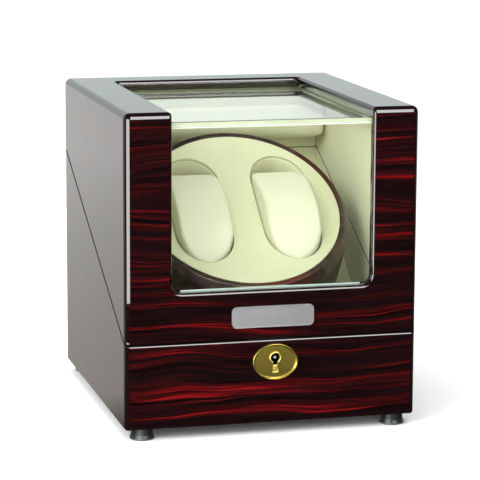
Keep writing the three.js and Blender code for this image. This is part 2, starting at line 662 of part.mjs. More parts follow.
function escutcheon() {
  const [a, b] = ESCUTCHEON;
  const plate = along(disc(a, b, LOCK_X, LOCK_CENTRE_Z), -ESCUTCHEON_SHEET, 0, 20);
  const ring = disc(a, b, LOCK_X, LOCK_CENTRE_Z);
  ring.holes.push(disc(a - ESCUTCHEON_RIM, b - ESCUTCHEON_RIM, LOCK_X, LOCK_CENTRE_Z));
  return cut(join(plate, along(ring, -ESCUTCHEON_RISE, -ESCUTCHEON_SHEET / 2, 20)),
    keyholeCutter(0, -ESCUTCHEON_RISE - 1, 1));
}

put("lock_case", lockCase(), STEEL);
put("lock_bolt", lockBolt(), BRASS);
put("escutcheon", escutcheon(), BRASS);
lidPieces();
put("lid_lock_link", lidLockLink(), BRASS);

// ---- Hinges ----------------------------------------------------------------------------------------

function hingeKnuckle(x0, x1) {
  const y = DEPTH + BARREL_OFF;
  const tube = rodAlongX(BARREL_RADIUS, x0, x1, y, SEAM_BACK, 24);
  return { tube, bore: rodAlongX(PIN_RADIUS + CLEARANCE, x0 - 1, x1 + 1, y, SEAM_BACK, 16) };
}

// The base leaf carries the two outer knuckles and the lid leaf the middle one.
function hingeLeaf(x, up) {
  const spans = up > 0
    ? [[x - KNUCKLE_HALF, x + KNUCKLE_HALF]]
    : [[x - HINGE_HALF, x - KNUCKLE_HALF - CLEARANCE], [x + KNUCKLE_HALF + CLEARANCE, x + HINGE_HALF]];
  const clear = BARREL_RADIUS + CLEARANCE;
  const plateZ = [SEAM_BACK + up * clear, SEAM_BACK + up * (clear + LEAF_HEIGHT)].sort((a, b) => a - b);
  const plate = block(x - HINGE_HALF, x + HINGE_HALF, DEPTH, DEPTH + LEAF, ...plateZ);
  const necks = spans.map(([x0, x1]) =>
    block(x0, x1, DEPTH, DEPTH + LEAF, ...[SEAM_BACK, SEAM_BACK + up * clear].sort((a, b) => a - b)));
  const knuckles = spans.map((span) => hingeKnuckle(...span));
  const whole = join(plate, ...necks, ...knuckles.map(({ tube }) => tube));
  return cut(whole, ...knuckles.map(({ bore }) => bore));
}

for (const [word, side] of SIDES) {
  const x = side * HINGE_X;
  put(`hinge_${word}_base_leaf`, hingeLeaf(x, -1), BRASS);
  put(`hinge_${word}_lid_leaf`, hingeLeaf(x, 1), BRASS);
  put(`hinge_${word}_pin`,
    rodAlongX(PIN_RADIUS, x - HINGE_HALF, x + HINGE_HALF, DEPTH + BARREL_OFF, SEAM_BACK, 16), STEEL);
}

// ---- Controls in the back --------------------------------------------------------------------------

const PLATE_INNER = DEPTH - CONTROL_SET_IN;
const PLATE_OUTER = PLATE_INNER + 1.5;
const ROCKER = { y: PLATE_INNER - 1.5, half: 5.3, reach: 7.6, pin: 1.2, pinEnd: 6.5, ear: 1.4, earHalf: 4 };
const KNOB = { radius: 7.5, stem: 2.5, from: PLATE_OUTER + 0.7, top: 198.5, edge: 0.9, ridge: 1 };
const INLET = { body: 4.5, flange: 6, bore: 2.9, pin: 1, top: PLATE_OUTER + 1.4 };
const BOARD_FACE = 173.6; // circuit board, the side that faces the plate
const POST = { x: 29, up: 8, radius: 1.8 };
const SELECTOR = { half: 7, back: 186, socket: 3 };

// A moulded plate with holes for the inlet and the knob, and two ears that carry the rocker's pins.
function controlPlate() {
  const [halfX, halfZ] = CONTROL_HALF;
  const plate = block(-halfX, halfX, PLATE_INNER, PLATE_OUTER, CONTROL_Z - halfZ, CONTROL_Z + halfZ);
  const earFrom = ROCKER.half + CLEARANCE;
  const ears = SIDES.map(([, side]) => {
    const [x0, x1] = onSide(side, earFrom, earFrom + ROCKER.ear);
    return block(SWITCH_X + x0, SWITCH_X + x1, ROCKER.y - 3, PLATE_INNER + 0.5,
      CONTROL_Z - ROCKER.earHalf, CONTROL_Z + ROCKER.earHalf);
  });
  const reach = earFrom + ROCKER.ear + 1;
  const switchHalf = ROCKER.reach + 1.2;
  const hole = (radius, x) => rodAlongY(radius, PLATE_INNER - 1, DEPTH, x, CONTROL_Z);
  return cut(join(plate, ...ears), hole(INLET.body + CLEARANCE, INLET_X), hole(KNOB.stem + 0.8, KNOB_X),
    block(SWITCH_X - earFrom, SWITCH_X + earFrom, PLATE_INNER - 1, DEPTH,
      CONTROL_Z - switchHalf, CONTROL_Z + switchHalf),
    rodAlongX(ROCKER.pin + CLEARANCE, SWITCH_X - reach, SWITCH_X + reach, ROCKER.y, CONTROL_Z));
}

// A rocker with a shallow V on top, modelled level and then tilted to its off side.
function powerSwitch() {
  const { half, reach, pin, pinEnd } = ROCKER;
  const [under, middle, end] = [-2.5, 3.2, 4.6];
  const profile = outline([[under, -reach + 1.6], [end, -reach], [middle, 0], [end, reach],
    [under, reach - 1.6]]);
  return join(across(profile, -half, half), rodAlongX(pin, -pinEnd, pinEnd, 0, 0, 12))
    .rotateX(THREE.MathUtils.degToRad(SWITCH_TILT)).translate(SWITCH_X, ROCKER.y, CONTROL_Z);
}

function modeKnob() {
  const { radius, stem, from, top, edge, ridge } = KNOB;
  const stemEnd = BOARD_FACE + 5.4;
  const body = turnedBack([[0, stemEnd], [stem, stemEnd], [stem, from], [radius, from],
    [radius, top - edge], [radius - edge, top], [0, top]], KNOB_X, CONTROL_Z);
  const pointer = block(KNOB_X - ridge, KNOB_X + ridge, top - 0.5, top + 1,
    CONTROL_Z, CONTROL_Z + radius - 1.3);
  return join(body, pointer);
}

// A barrel socket for a low-voltage plug, with its middle pin.
function powerInlet() {
  const { body, flange, bore, pin, top } = INLET;
  const [end, floor, pinTop] = [178, 181, 190.5];
  return turnedBack([[0, end], [body, end], [body, PLATE_OUTER + CLEARANCE],
    [flange, PLATE_OUTER + CLEARANCE], [flange, top], [bore, top], [bore, floor], [pin, floor],
    [pin, pinTop], [0, pinTop]], INLET_X, CONTROL_Z);
}

// The board carries the selector that the knob turns and two posts that reach to the plate.
function circuitBoard() {
  const [halfX, halfZ, thickness] = [32, 11, 1.6];
  const { half, back, socket } = SELECTOR;
  const root = BOARD_FACE - 0.5;
  const board = block(-halfX, halfX, BOARD_FACE - thickness, BOARD_FACE,
    CONTROL_Z - halfZ, CONTROL_Z + halfZ);
  const selector = block(KNOB_X - half, KNOB_X + half, root, back, CONTROL_Z - half, CONTROL_Z + half);
  const hole = rodAlongY(socket, BOARD_FACE + 3.4, back + 1, KNOB_X, CONTROL_Z, 16);
  const posts = SIDES.map(([, side]) =>
    rodAlongY(POST.radius, root, PLATE_INNER - CLEARANCE, side * POST.x, CONTROL_Z + POST.up, 12));
  return cut(join(board, selector, ...posts), hole);
}

put("control_plate", controlPlate(), BLACK_PLASTIC);
put("power_switch", powerSwitch(), BLACK_PLASTIC);
put("mode_knob", modeKnob(), BLACK_PLASTIC);
put("power_inlet", powerInlet(), BLACK_PLASTIC);
put("circuit_board", circuitBoard(), BOARD_GREEN);

export default winder;
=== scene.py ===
# Looks of the watch winder box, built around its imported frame. Metres, +Z up, the front facing -Y.
import json
from contextlib import contextmanager
from functools import partial
from math import acos, atan2, copysign, cos, degrees, pi, radians, sin, tan

import bmesh
import bpy
from mathutils import Matrix, Vector

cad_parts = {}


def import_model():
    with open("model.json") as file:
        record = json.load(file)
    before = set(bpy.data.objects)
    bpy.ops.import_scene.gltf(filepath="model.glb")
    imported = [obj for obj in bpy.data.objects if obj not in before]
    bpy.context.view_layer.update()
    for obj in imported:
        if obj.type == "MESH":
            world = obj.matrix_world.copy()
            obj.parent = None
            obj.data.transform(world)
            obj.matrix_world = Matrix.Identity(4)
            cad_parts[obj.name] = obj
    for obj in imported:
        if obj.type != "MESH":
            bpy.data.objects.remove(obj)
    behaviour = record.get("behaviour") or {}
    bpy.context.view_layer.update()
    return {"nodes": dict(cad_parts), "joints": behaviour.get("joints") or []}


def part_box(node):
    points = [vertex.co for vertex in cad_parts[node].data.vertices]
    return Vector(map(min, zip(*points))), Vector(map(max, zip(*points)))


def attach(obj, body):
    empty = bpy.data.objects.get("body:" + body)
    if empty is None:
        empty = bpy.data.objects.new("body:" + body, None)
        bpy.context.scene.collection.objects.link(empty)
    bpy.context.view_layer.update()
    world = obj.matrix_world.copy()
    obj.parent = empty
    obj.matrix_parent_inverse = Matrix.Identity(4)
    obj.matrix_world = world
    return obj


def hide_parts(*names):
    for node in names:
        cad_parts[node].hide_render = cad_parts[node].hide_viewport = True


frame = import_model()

MM = 0.001
NODES = frame["nodes"]


# ---- Measures, from the frame ----

def low(node):
    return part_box(node)[0]


def high(node):
    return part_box(node)[1]


HALF = high("base_right_panel").x
WALL = HALF - low("base_right_panel").x
BETWEEN_SIDES = (-HALF + WALL, HALF - WALL)
FRONT = low("base_left_panel").y
BACK = high("lid_back_panel").y
UNDER = low("base_left_panel").z
TOP = high("lid_left_panel").z
INNER_BACK = low("lid_back_panel").y
BASE_INNER_FRONT = high("base_front_panel").y
LID_INNER_FRONT = high("lid_front_rail").y
FRAME_UNDER = low("lid_back_top_rail").z
WINDOW_HALF = high("lid_front_rail").x
SILL = high("lid_front_rail").z
OPENING_BACK = low("lid_back_top_rail").y
PAD_BOTTOM = UNDER + 149.5 * MM
KEYHOLE_X = (low("escutcheon").x + high("escutcheon").x) / 2
KEYHOLE_Z = UNDER + 40.5 * MM

SEAM_SLOPE = ((high("base_left_panel").z - high("base_front_panel").z)
              / (high("base_left_panel").y - high("base_front_panel").y))
BASE_TOP_FRONT = high("base_front_panel").z - SEAM_SLOPE * (BASE_INNER_FRONT - FRONT)
LID_UNDER_FRONT = low("lid_left_panel").z

SPIN = next(joint for joint in frame["joints"] if joint["name"] == "rotor_spin")
AXLE = Vector(SPIN["axis"]).normalized()
ROTOR = (Matrix.Translation(SPIN["pos_m"])
         @ Matrix.Rotation(atan2(-AXLE.y, AXLE.z), 4, "X"))


def rotor_box(node):
    """A node's lowest and highest corners in the rotor's frame, with z along its axle."""
    inverse = ROTOR.inverted()
    points = [inverse @ vertex.co for vertex in NODES[node].data.vertices]
    return (Vector(map(min, zip(*points))), Vector(map(max, zip(*points))))


def base_top(y):
    """Height of the seam's lower face, on the base."""
    return BASE_TOP_FRONT + SEAM_SLOPE * (y - FRONT)


def lid_under(y):
    """Height of the seam's upper face, under the lid."""
    return LID_UNDER_FRONT + SEAM_SLOPE * (y - FRONT)


def side_view(front, back, below, above):
    """The four corners of a board seen from the side; a limit is a height, or a slope of y."""
    def height(limit, y):
        return limit(y) if callable(limit) else limit
    return [(front, height(below, front)), (back, height(below, back)),
            (back, height(above, back)), (front, height(above, front))]


# ---- Camera ----

CAMERA_LENS = 171.06  # millimetres, on a sensor 36 mm wide
CAMERA_PLACE = (-0.3579, FRONT - 1.2945, UNDER + 0.3585)
CAMERA_PAN, CAMERA_DROP, CAMERA_ROLL = -14.6, 10.38, 0.29  # degrees


def make_camera():
    data = bpy.data.cameras.new("camera")
    data.lens = CAMERA_LENS
    data.sensor_width = 36
    data.clip_start = 0.01
    camera = bpy.data.objects.new("camera", data)
    bpy.context.scene.collection.objects.link(camera)
    camera.matrix_world = (
        Matrix.Translation(CAMERA_PLACE) @ Matrix.Rotation(radians(CAMERA_PAN), 4, "Z")
        @ Matrix.Rotation(radians(90 - CAMERA_DROP), 4, "X")
        @ Matrix.Rotation(radians(CAMERA_ROLL), 4, "Z"))
    bpy.context.scene.camera = camera


make_camera()


# ---- Shader helpers ----

def srgb(red, green, blue):
    """A linear colour from 8-bit sRGB."""
    def linear(value):
        share = value / 255
        return share / 12.92 if share <= 0.04045 else ((share + 0.055) / 1.055) ** 2.4
    return (linear(red), linear(green), linear(blue), 1.0)


def add_node(tree, kind, inputs=(), **settings):
    """A new node with its settings, its inputs set to values or linked to sockets or nodes."""
    made = tree.nodes.new("ShaderNode" + kind)
    for name, value in settings.items():
        setattr(made, name, value)
    for key, value in dict(inputs).items():
        if isinstance(value, bpy.types.Node):
            value = value.outputs[0]
        if isinstance(value, bpy.types.NodeSocket):
            tree.links.new(value, made.inputs[key])
        else:
            made.inputs[key].default_value = value
    return made


def bare_material(name):
    """A material with only its output, and a function that adds nodes to it."""
    material = bpy.data.materials.new(name)
    material.use_nodes = True
    tree = material.node_tree
    tree.nodes.remove(tree.nodes["Principled BSDF"])
    return material, partial(add_node, tree)


def show(material, surface):
    """Links a shader node to the material's output."""
    tree = material.node_tree
    tree.links.new(surface.outputs[0], tree.nodes["Material Output"].inputs["Surface"])


def socket_name(word):
    return word.replace("_", " ").title().replace("Ior", "IOR")


class Shader:
    """A Principled material with a short way to add nodes."""

    def __init__(self, name, **constants):
        self.material = bpy.data.materials.new(name)
        self.material.use_nodes = True
        self.tree = self.material.node_tree
        self.surface = self.tree.nodes["Principled BSDF"]
        self.place = self.add("TexCoord").outputs["Object"]
        for word, value in constants.items():
            self.surface.inputs[socket_name(word)].default_value = value

    def add(self, kind, inputs=(), **settings):
        return add_node(self.tree, kind, inputs, **settings)

    def math(self, operation, *values):
        return self.add("Math", dict(enumerate(values)), operation=operation).outputs[0]

    def stretch(self, scale):
        return self.add("VectorMath", {0: self.place, 1: scale}, operation="MULTIPLY").outputs[0]

    def noise(self, scale, vector=None, detail=3.0, roughness=0.5, distortion=0.0):
        return self.add("TexNoise", {
            "Vector": vector or self.place, "Scale": scale, "Detail": detail, "Roughness": roughness,
            "Distortion": distortion}).outputs[0]

    def ramp(self, value, *stops):
        made = self.add("ValToRGB", {"Fac": value})
        elements = made.color_ramp.elements
        while len(elements) < len(stops):
            elements.new(0.5)
        for element, (place, colour) in zip(elements, stops):
            element.position = place
            element.color = colour if hasattr(colour, "__len__") else (colour, colour, colour, 1)
        return made.outputs["Color"]

    def mix(self, share, first, second, blend="MIX"):
        return self.add("Mix", {0: share, 6: first, 7: second}, data_type="RGBA",
                        blend_type=blend).outputs[2]

    def spread(self, value, low, high):
        """A share from 0 to 1 turned into a number from low to high."""
        return self.add("MapRange", {"Value": value, "To Min": low, "To Max": high}).outputs[0]

    def set(self, **links):
        for word, value in links.items():
            self.tree.links.new(value, self.surface.inputs[socket_name(word)])
        return self.material

    def bump(self, height, distance, strength=1.0):
        made = self.add("Bump", {"Height": height, "Distance": distance, "Strength": strength})
        return made.outputs["Normal"]


# ---- Materials ----

LACQUER_PAINTED_SHADE = srgb(22, 9, 10)  # painted shade: a near-black lacquer on the rounded edges, where it stands in for a dark reflection, and on level faces below the top, such as the seam's, where it stands in for shade
GLASS_IOR = 1.45


def striped_lacquer():
    """Near-black brown veneer with red streaks that run level, wander a little and fray, under a
    thick clear lacquer. The top's leaf runs from front to back. The top and the sides are painted
    darker: painted shade."""
    shader = Shader("striped_lacquer", roughness=0.5, specular_ior_level=0.0, coat_weight=1.0,
                    coat_roughness=0.015, coat_ior=1.5)
    facing = shader.add("SeparateXYZ", {0: shader.add("TexCoord").outputs["Normal"]})
    size = {axis: shader.math("ABSOLUTE", facing.outputs[axis]) for axis in "XYZ"}
    flat = shader.math("GREATER_THAN", size["Z"], 0.72)
    place = shader.add("SeparateXYZ", {0: shader.place})
    across = shader.add("Mix", {
        0: flat, 2: place.outputs["Z"], 3: place.outputs["X"]}).outputs[0]
    along = shader.math("ADD", place.outputs["X"], place.outputs["Y"])

    def drawn_out(run, rows, height, layer):
        """A place in a noise with so many lumps a metre along the grain, and rows across it."""
        return shader.add("CombineXYZ", {
            0: shader.math("MULTIPLY", along, run), 1: shader.math("MULTIPLY", height, rows),
            2: layer}).outputs[0]

    wander = shader.noise(1, drawn_out(9.0, 16.0, across, 2.3), detail=2.0, roughness=0.4)
    level = shader.math("MULTIPLY_ADD", wander, 0.024, across)
    broad = shader.noise(1, drawn_out(5.5, 190.0, level, 7.7), detail=2.5, distortion=0.25)
    fine = shader.noise(1, drawn_out(14.0, 800.0, level, 3.1), roughness=0.6, distortion=0.3)
    streak = shader.math("MULTIPLY_ADD", shader.math("SUBTRACT", fine, 0.5), 0.5, broad)
    colour = shader.ramp(
        streak, (0.46, srgb(19, 8, 9)), (0.54, srgb(30, 9, 10)), (0.62, srgb(46, 9, 10)),
        (0.69, srgb(70, 10, 12)), (0.77, srgb(124, 17, 19)))
    lines = shader.ramp(fine, (0.32, 0.45), (0.52, 1.0))
    colour = shader.mix(1.0, colour, lines, "MULTIPLY")
    # Painted shade: the top and the sides are darkened to 30% of the front's tone.
    painted_side_shade = shader.ramp(size["Y"], (0.2, 0.30), (0.8, 1.0))
    colour = shader.mix(1.0, colour, painted_side_shade, "MULTIPLY")
    # Painted shade: rounded edges and level faces below the top get a near-black lacquer, a painted
    # dark reflection on the edges and painted shade on the seam's faces.
    square_on = shader.math("MAXIMUM", shader.math("MAXIMUM", size["X"], size["Y"]), size["Z"])
    face = shader.ramp(square_on, (0.93, 0.0), (0.995, 1.0))
    below_top = shader.math("LESS_THAN", place.outputs["Z"], TOP - 2 * MM)
    colour = shader.mix(face, LACQUER_PAINTED_SHADE, colour)
    colour = shader.mix(shader.math("MULTIPLY", flat, below_top), colour, LACQUER_PAINTED_SHADE)
    ripple = shader.bump(shader.noise(55, detail=1.0), 0.00004)
    shader.tree.links.new(ripple, shader.surface.inputs["Coat Normal"])
    return shader.set(base_color=colour)


def burl():
    """Dark swirled burl with a few reddish clouds, lacquered."""
    shader = Shader("burl", roughness=0.4, coat_weight=0.5, coat_roughness=0.06)
    swirl = shader.noise(48, detail=5.0, roughness=0.62, distortion=2.2)
    clouds = shader.noise(17, shader.stretch((1.0, 1.4, 1.0)), detail=2.0)
    colour = shader.ramp(swirl, (0.30, srgb(22, 12, 11)), (0.46, srgb(50, 34, 29)),
                         (0.60, srgb(76, 56, 47)), (0.75, srgb(38, 16, 14)))
    colour = shader.mix(shader.ramp(clouds, (0.54, 0.0), (0.70, 0.8)), colour, srgb(98, 32, 24))
    return shader.set(base_color=colour)


def leatherette(name="leatherette", tone=(245, 243, 208), grain=1.0):
    """Cream leatherette: a fine pebbled grain, slightly uneven in tone and gloss."""
    shader = Shader(name, specular_ior_level=0.4, sheen_weight=0.12, sheen_roughness=0.4)
    pebbles = shader.add("TexVoronoi", {"Vector": shader.place, "Scale": 1150.0},
                         feature="SMOOTH_F1").outputs["Distance"]
    cloud = shader.noise(22, detail=3.0)
    colour = shader.mix(shader.ramp(cloud, (0.35, 0.0), (0.7, 1.0)), srgb(*tone),
                        srgb(*(value - 7 for value in tone)))
    # Painted shade: the grain's creases between pebbles are darkened a little.
    crease_shade = shader.ramp(pebbles, (0.12, 1.0), (0.55, 0.955))
    colour = shader.mix(1.0, colour, crease_shade, "MULTIPLY")
    shine = shader.spread(cloud, 0.47, 0.60)
    height = shader.math("SUBTRACT", shader.noise(60, detail=2.0), pebbles)
    return shader.set(base_color=colour, roughness=shine,
                      normal=shader.bump(height, 0.00012 * grain, 0.5))


def metal(name, tone, roughness, brushed=(1, 1, 1), depth=2e-5, worn=0.12):
    """Metal with a faint brushed or lapped surface and uneven gloss."""
    shader = Shader(name, metallic=1.0)
    lines = shader.noise(900, shader.stretch(brushed), detail=3.0, roughness=0.6)
    cloud = shader.noise(140, detail=3.0)
    colour = shader.mix(shader.math("MULTIPLY", cloud, 0.5), srgb(*tone),
                        srgb(*(value * 0.86 for value in tone)))
    shine = shader.spread(cloud, roughness - worn / 2, roughness + worn / 2)
    return shader.set(base_color=colour, roughness=shine, normal=shader.bump(lines, depth, 0.6))


def moulded(name, tone, roughness=0.45, texture=5e-5, scale=1800.0):
    """Moulded plastic or rubber with a fine spark-eroded texture."""
    shader = Shader(name, specular_ior_level=0.45)
    cloud = shader.noise(45, detail=3.0)
    colour = shader.mix(cloud, srgb(*tone), srgb(*(min(255, value * 1.16 + 3) for value in tone)))
    shine = shader.spread(cloud, roughness - 0.07, roughness + 0.07)
    return shader.set(base_color=colour, roughness=shine,
                      normal=shader.bump(shader.noise(scale, detail=2.0), texture, 0.7))


def fibreboard():
    """Bare board with short pale fibres."""
    shader = Shader("fibreboard", roughness=0.85, specular_ior_level=0.2)
    fibres = shader.noise(700, shader.stretch((1.0, 0.35, 1.0)), detail=4.0, roughness=0.7)
    colour = shader.ramp(fibres, (0.3, srgb(134, 104, 72)), (0.6, srgb(186, 152, 110)),
                         (0.8, srgb(205, 175, 134)))
    return shader.set(base_color=colour, normal=shader.bump(fibres, 0.0001, 0.6))


def circuit_green():
    """Solder mask with fine level and upright tracks."""
    shader = Shader("circuit_green", roughness=0.35)
    place = shader.add("SeparateXYZ", {0: shader.place})
    grid = [shader.math("GREATER_THAN", shader.math(
        "SINE", shader.math("MULTIPLY", place.outputs[axis], 2600.0)), 0.72) for axis in ("X", "Z")]
    parts = shader.math("GREATER_THAN", shader.noise(120, detail=0.0), 0.5)
    tracks = shader.add("Mix", {0: parts, 2: grid[0], 3: grid[1]}).outputs[0]
    return shader.set(base_color=shader.mix(tracks, srgb(24, 78, 42), srgb(40, 118, 66)))


def clear_glass(name, tint):
    """A pane that light passes straight through: tinted, with the same mirror film on both sides of
    each surface."""
    material, add = bare_material(name)
    through = add("BsdfTransparent", {"Color": tint})
    mirror = add("BsdfGlossy", {"Roughness": 0.01, "Color": (1, 1, 1, 1)})
    inward = add("NewGeometry").outputs["Backfacing"]
    ior = add("MapRange", {"Value": inward, "To Min": GLASS_IOR, "To Max": 1 / GLASS_IOR})
    show(material, add("MixShader", {0: add("Fresnel", {"IOR": ior}), 1: through, 2: mirror}))
    return material


LACQUER = striped_lacquer()
BURL = burl()
CREAM = leatherette()
# Copies of the cream leatherette in other tones, set for how lit each part is: the face board's and
# the cushions' are darker (painted shade), the cups' lighter (painted light in their deep hollows).
FACE_CREAM_PAINTED_SHADE = leatherette("face_leatherette_painted_shade", (216, 215, 180))
CUP_CREAM_PAINTED_LIGHT = leatherette("cup_leatherette_painted_light", (252, 250, 222))
CUSHION_CREAM_PAINTED_SHADE = leatherette("cushion_leatherette_painted_shade", (228, 226, 199), 0.8)
# Painted shade: a dark olive for the linings' cut edges along the seam.
LINING_EDGE_PAINTED_SHADE = moulded("lining_edge_painted_shade", (96, 88, 62), 0.8)
BRASS = metal("polished_brass", (190, 168, 78), 0.34, depth=1e-5)
# Painted light: a lighter copy of the brass for the keyhole's collar and the slot's guard.
BRASS_PAINTED_LIGHT = metal("brass_painted_light", (236, 212, 124), 0.45, depth=5e-6, worn=0.06)
SILVER = metal("brushed_silver", (182, 182, 184), 0.44, (0.03, 1, 1), 3e-5)
SILVER_EDGE = metal("satin_silver", (190, 190, 190), 0.40, depth=5e-6)
STEEL = metal("steel", (172, 174, 178), 0.34, (1, 0.2, 1))
DARK_STEEL = metal("blackened_steel", (46, 45, 46), 0.45, (1, 0.2, 1))
RUBBER = moulded("rubber", (17, 22, 23), 0.4, 4e-5, 900.0)
# Painted reflection: a lighter rubber for the feet's lower rim.
RUBBER_PAINTED_REFLECTION = moulded("rubber_painted_reflection", (78, 87, 87), 0.4, 4e-5, 900.0)
BLACK_PLASTIC = moulded("black_plastic", (26, 26, 28), 0.42)
WHITE_PLASTIC = moulded("white_plastic", (222, 219, 206), 0.4, 3e-5)
FIBREBOARD = fibreboard()
GREEN_BOARD = circuit_green()
GLASS = clear_glass("pane", (0.955, 0.975, 0.955, 1))
GLASS_EDGE = moulded("ground_glass_edge", (152, 160, 128), 0.6, 1e-5)
# Painted on the panes' arrises: a pale highlight and a dark green shade.
PANE_PAINTED_HIGHLIGHT = moulded("pane_highlight_arris_painted", (196, 206, 194), 0.5, 1e-5)
PANE_PAINTED_DARK_ARRIS = moulded("pane_dark_arris_painted", (52, 66, 58), 0.2, 1e-5)
SEAL = moulded("glazing_seal", (128, 148, 138), 0.5, 1e-5)


# ---- Mesh helpers ----

def add_object(name, mesh, *materials):
    """A new object in the scene, with its materials in order."""
    piece = bpy.data.objects.new(name, mesh)
    bpy.context.scene.collection.objects.link(piece)
    for material in materials:
        mesh.materials.append(material)
    return piece


def from_bmesh(name, made, *materials):
    """An object from a bmesh, its faces turned outward."""
    bmesh.ops.recalc_face_normals(made, faces=made.faces)
    mesh = bpy.data.meshes.new(name)
    made.to_mesh(mesh)
    made.free()
    return add_object(name, mesh, *materials)


def settle(piece):
    """What the piece's modifiers give becomes its own mesh."""
    bpy.context.view_layer.update()
    graph = bpy.context.evaluated_depsgraph_get()
    mesh = bpy.data.meshes.new_from_object(piece.evaluated_get(graph))
    piece.modifiers.clear()
    piece.data = mesh
    return piece


def finish_piece(piece, body, replaces=(), matrix=None, flats=True):
    """Moves a piece into place, smooths its shading and ties it to its body; the nodes it stands for
    are hidden.
    """
    if flats:
        weighted_normals(piece)
    if matrix is not None:
        piece.data.transform(matrix)
    for polygon in piece.data.polygons:
        polygon.use_smooth = True
    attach(piece, body)
    if replaces:
        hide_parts(*replaces)


def loft(name, outlines, *materials):
    """A closed solid through outlines of equal length, each a list of corners."""
    made = bmesh.new()
    rings = [[made.verts.new(corner) for corner in outline] for outline in outlines]
    for first, second in zip(rings, rings[1:]):
        for i in range(len(first)):
            j = (i + 1) % len(first)
            made.faces.new((first[i], first[j], second[j], second[i]))
    made.faces.new(rings[0])
    made.faces.new(rings[-1])
    return from_bmesh(name, made, *materials)


def prism(name, points, axis, start, end, *materials):
    """A closed solid: an outline in the two other axes, drawn along axis."""
    at = "XYZ".index(axis)
    outlines = [[(*point[:at], place, *point[at:]) for point in points] for place in (start, end)]
    return loft(name, outlines, *materials)


def block(name, x, y, z, *materials):
    """A box from its limits along each axis."""
    corners = [(x[0], y[0]), (x[1], y[0]), (x[1], y[1]), (x[0], y[1])]
    return prism(name, corners, "Z", *z, *materials)


def around(name, node, grow, **limits):
    """A box round a node, larger by grow on each side, but for the limits given."""
    own = {axis: (start - grow, end + grow) for axis, start, end in zip("xyz", *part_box(node))}
    return block(name, **{**own, **limits})


def carve(piece, *cutters, operation="DIFFERENCE"):
    """Takes the cutters away from a piece, or joins them to it, and removes them."""
    for cutter in cutters:
        modifier = piece.modifiers.new("carve", "BOOLEAN")
        modifier.operation = operation
        modifier.solver = "EXACT"
        modifier.object = cutter
        settle(piece)
        bpy.data.objects.remove(cutter)
    return piece


@contextmanager
def edited(piece):
    """The piece's mesh as a bmesh, written back at the end."""
    made = bmesh.new()
    made.from_mesh(piece.data)
    yield made
    made.to_mesh(piece.data)
    made.free()


def tidy_flats(piece):
    """Merges the pieces that a cut leaves of one flat face."""
    with edited(piece) as made:
        bmesh.ops.remove_doubles(made, verts=made.verts, dist=2e-6)
        bmesh.ops.dissolve_limit(made, angle_limit=radians(0.4), verts=made.verts,
                                 edges=made.edges)


def weigh_edges(piece, weight):
    """Sets how strongly each sharp edge is rounded: weight(edge), from 0 to 1."""
    with edited(piece) as made:
        layer = made.edges.layers.float.new("bevel_weight_edge")
        for edge in made.edges:
            if len(edge.link_faces) == 2 and edge.calc_face_angle(0) > radians(25):
                edge[layer] = weight(edge)


def round_edges(piece, width, segments=4, weighted=False, angle=30):
    """Rounds the edges sharper than angle, or each as strongly as its weight says."""
    modifier = piece.modifiers.new("round", "BEVEL")
    modifier.width = width
    modifier.segments = segments
    modifier.limit_method = "WEIGHT" if weighted else "ANGLE"
    modifier.angle_limit = radians(angle)
    modifier.use_clamp_overlap = not weighted
    modifier.miter_outer = "MITER_ARC"
    return piece


def weighted_normals(piece, settled=True):
    """Smooth shading that keeps large faces flat."""
    for polygon in piece.data.polygons:
        polygon.use_smooth = True
    modifier = piece.modifiers.new("normals", "WEIGHTED_NORMAL")
    modifier.weight = 60
    if settled:
        settle(piece)


def full_turn(steps):
    return [2 * pi * i / steps for i in range(steps)]


def lathe(name, profile, segments, *materials):
    """A turned solid about Z from (radius, height) points that end on the axis or meet."""
    made = bmesh.new()
    rings = []
    for radius, height in profile:
        turns = full_turn(segments) if radius > 1e-7 else [0]
        rings.append([made.verts.new((radius * cos(turn), radius * sin(turn), height))
                      for turn in turns])
    closed = len(rings[0]) > 1
    for first, second in zip(rings, rings[1:] + rings[:1] if closed else rings[1:]):
        for i in range(segments):
            j = (i + 1) % segments
            corners = [first[i % len(first)], first[j % len(first)],
                       second[j % len(second)], second[i % len(second)]]
            corners = [c for k, c in enumerate(corners) if c not in corners[:k]]
            if len(corners) > 2:
                made.faces.new(corners)
    return from_bmesh(name, made, *materials)


def arc(centre, radius, start, end, steps):
    """Points on an arc, in degrees."""
    turns = [radians(start + (end - start) * i / steps) for i in range(steps + 1)]
    return [(centre[0] + radius * cos(turn), centre[1] + radius * sin(turn)) for turn in turns]


def rounded_outline(x, y, radius, steps=5):
    """A rectangle with round corners, x and y being its limits."""
    points = []
    corners = ((x[1], y[1], 0), (x[0], y[1], 90), (x[0], y[0], 180), (x[1], y[0], 270))
    for corner_x, corner_y, start in corners:
        centre = (corner_x - copysign(radius, corner_x - sum(x) / 2),
                  corner_y - copysign(radius, corner_y - sum(y) / 2))
        points += arc(centre, radius, start, start + 90, steps)
    return points


TO_FRONT = Matrix.Rotation(radians(90), 4, "X")  # turns +Z to the front
TO_BACK = Matrix.Rotation(radians(-90), 4, "X")


# ---- Case ----

EDGE = 4.0 * MM  # rounding of the case's outer edges
FOOT_EDGE = 1.6 * MM  # and of those round its underside
WINDOW_EDGE = 2.2 * MM
SEAM_EDGE = 1.0 * MM
SEAM_INNER_EDGE = 0.48 * MM
WINDOW_CORNER = 6 * MM
EASE = 0.3 * MM  # play round a piece that is let into the wood
NEAR = 0.05 * MM


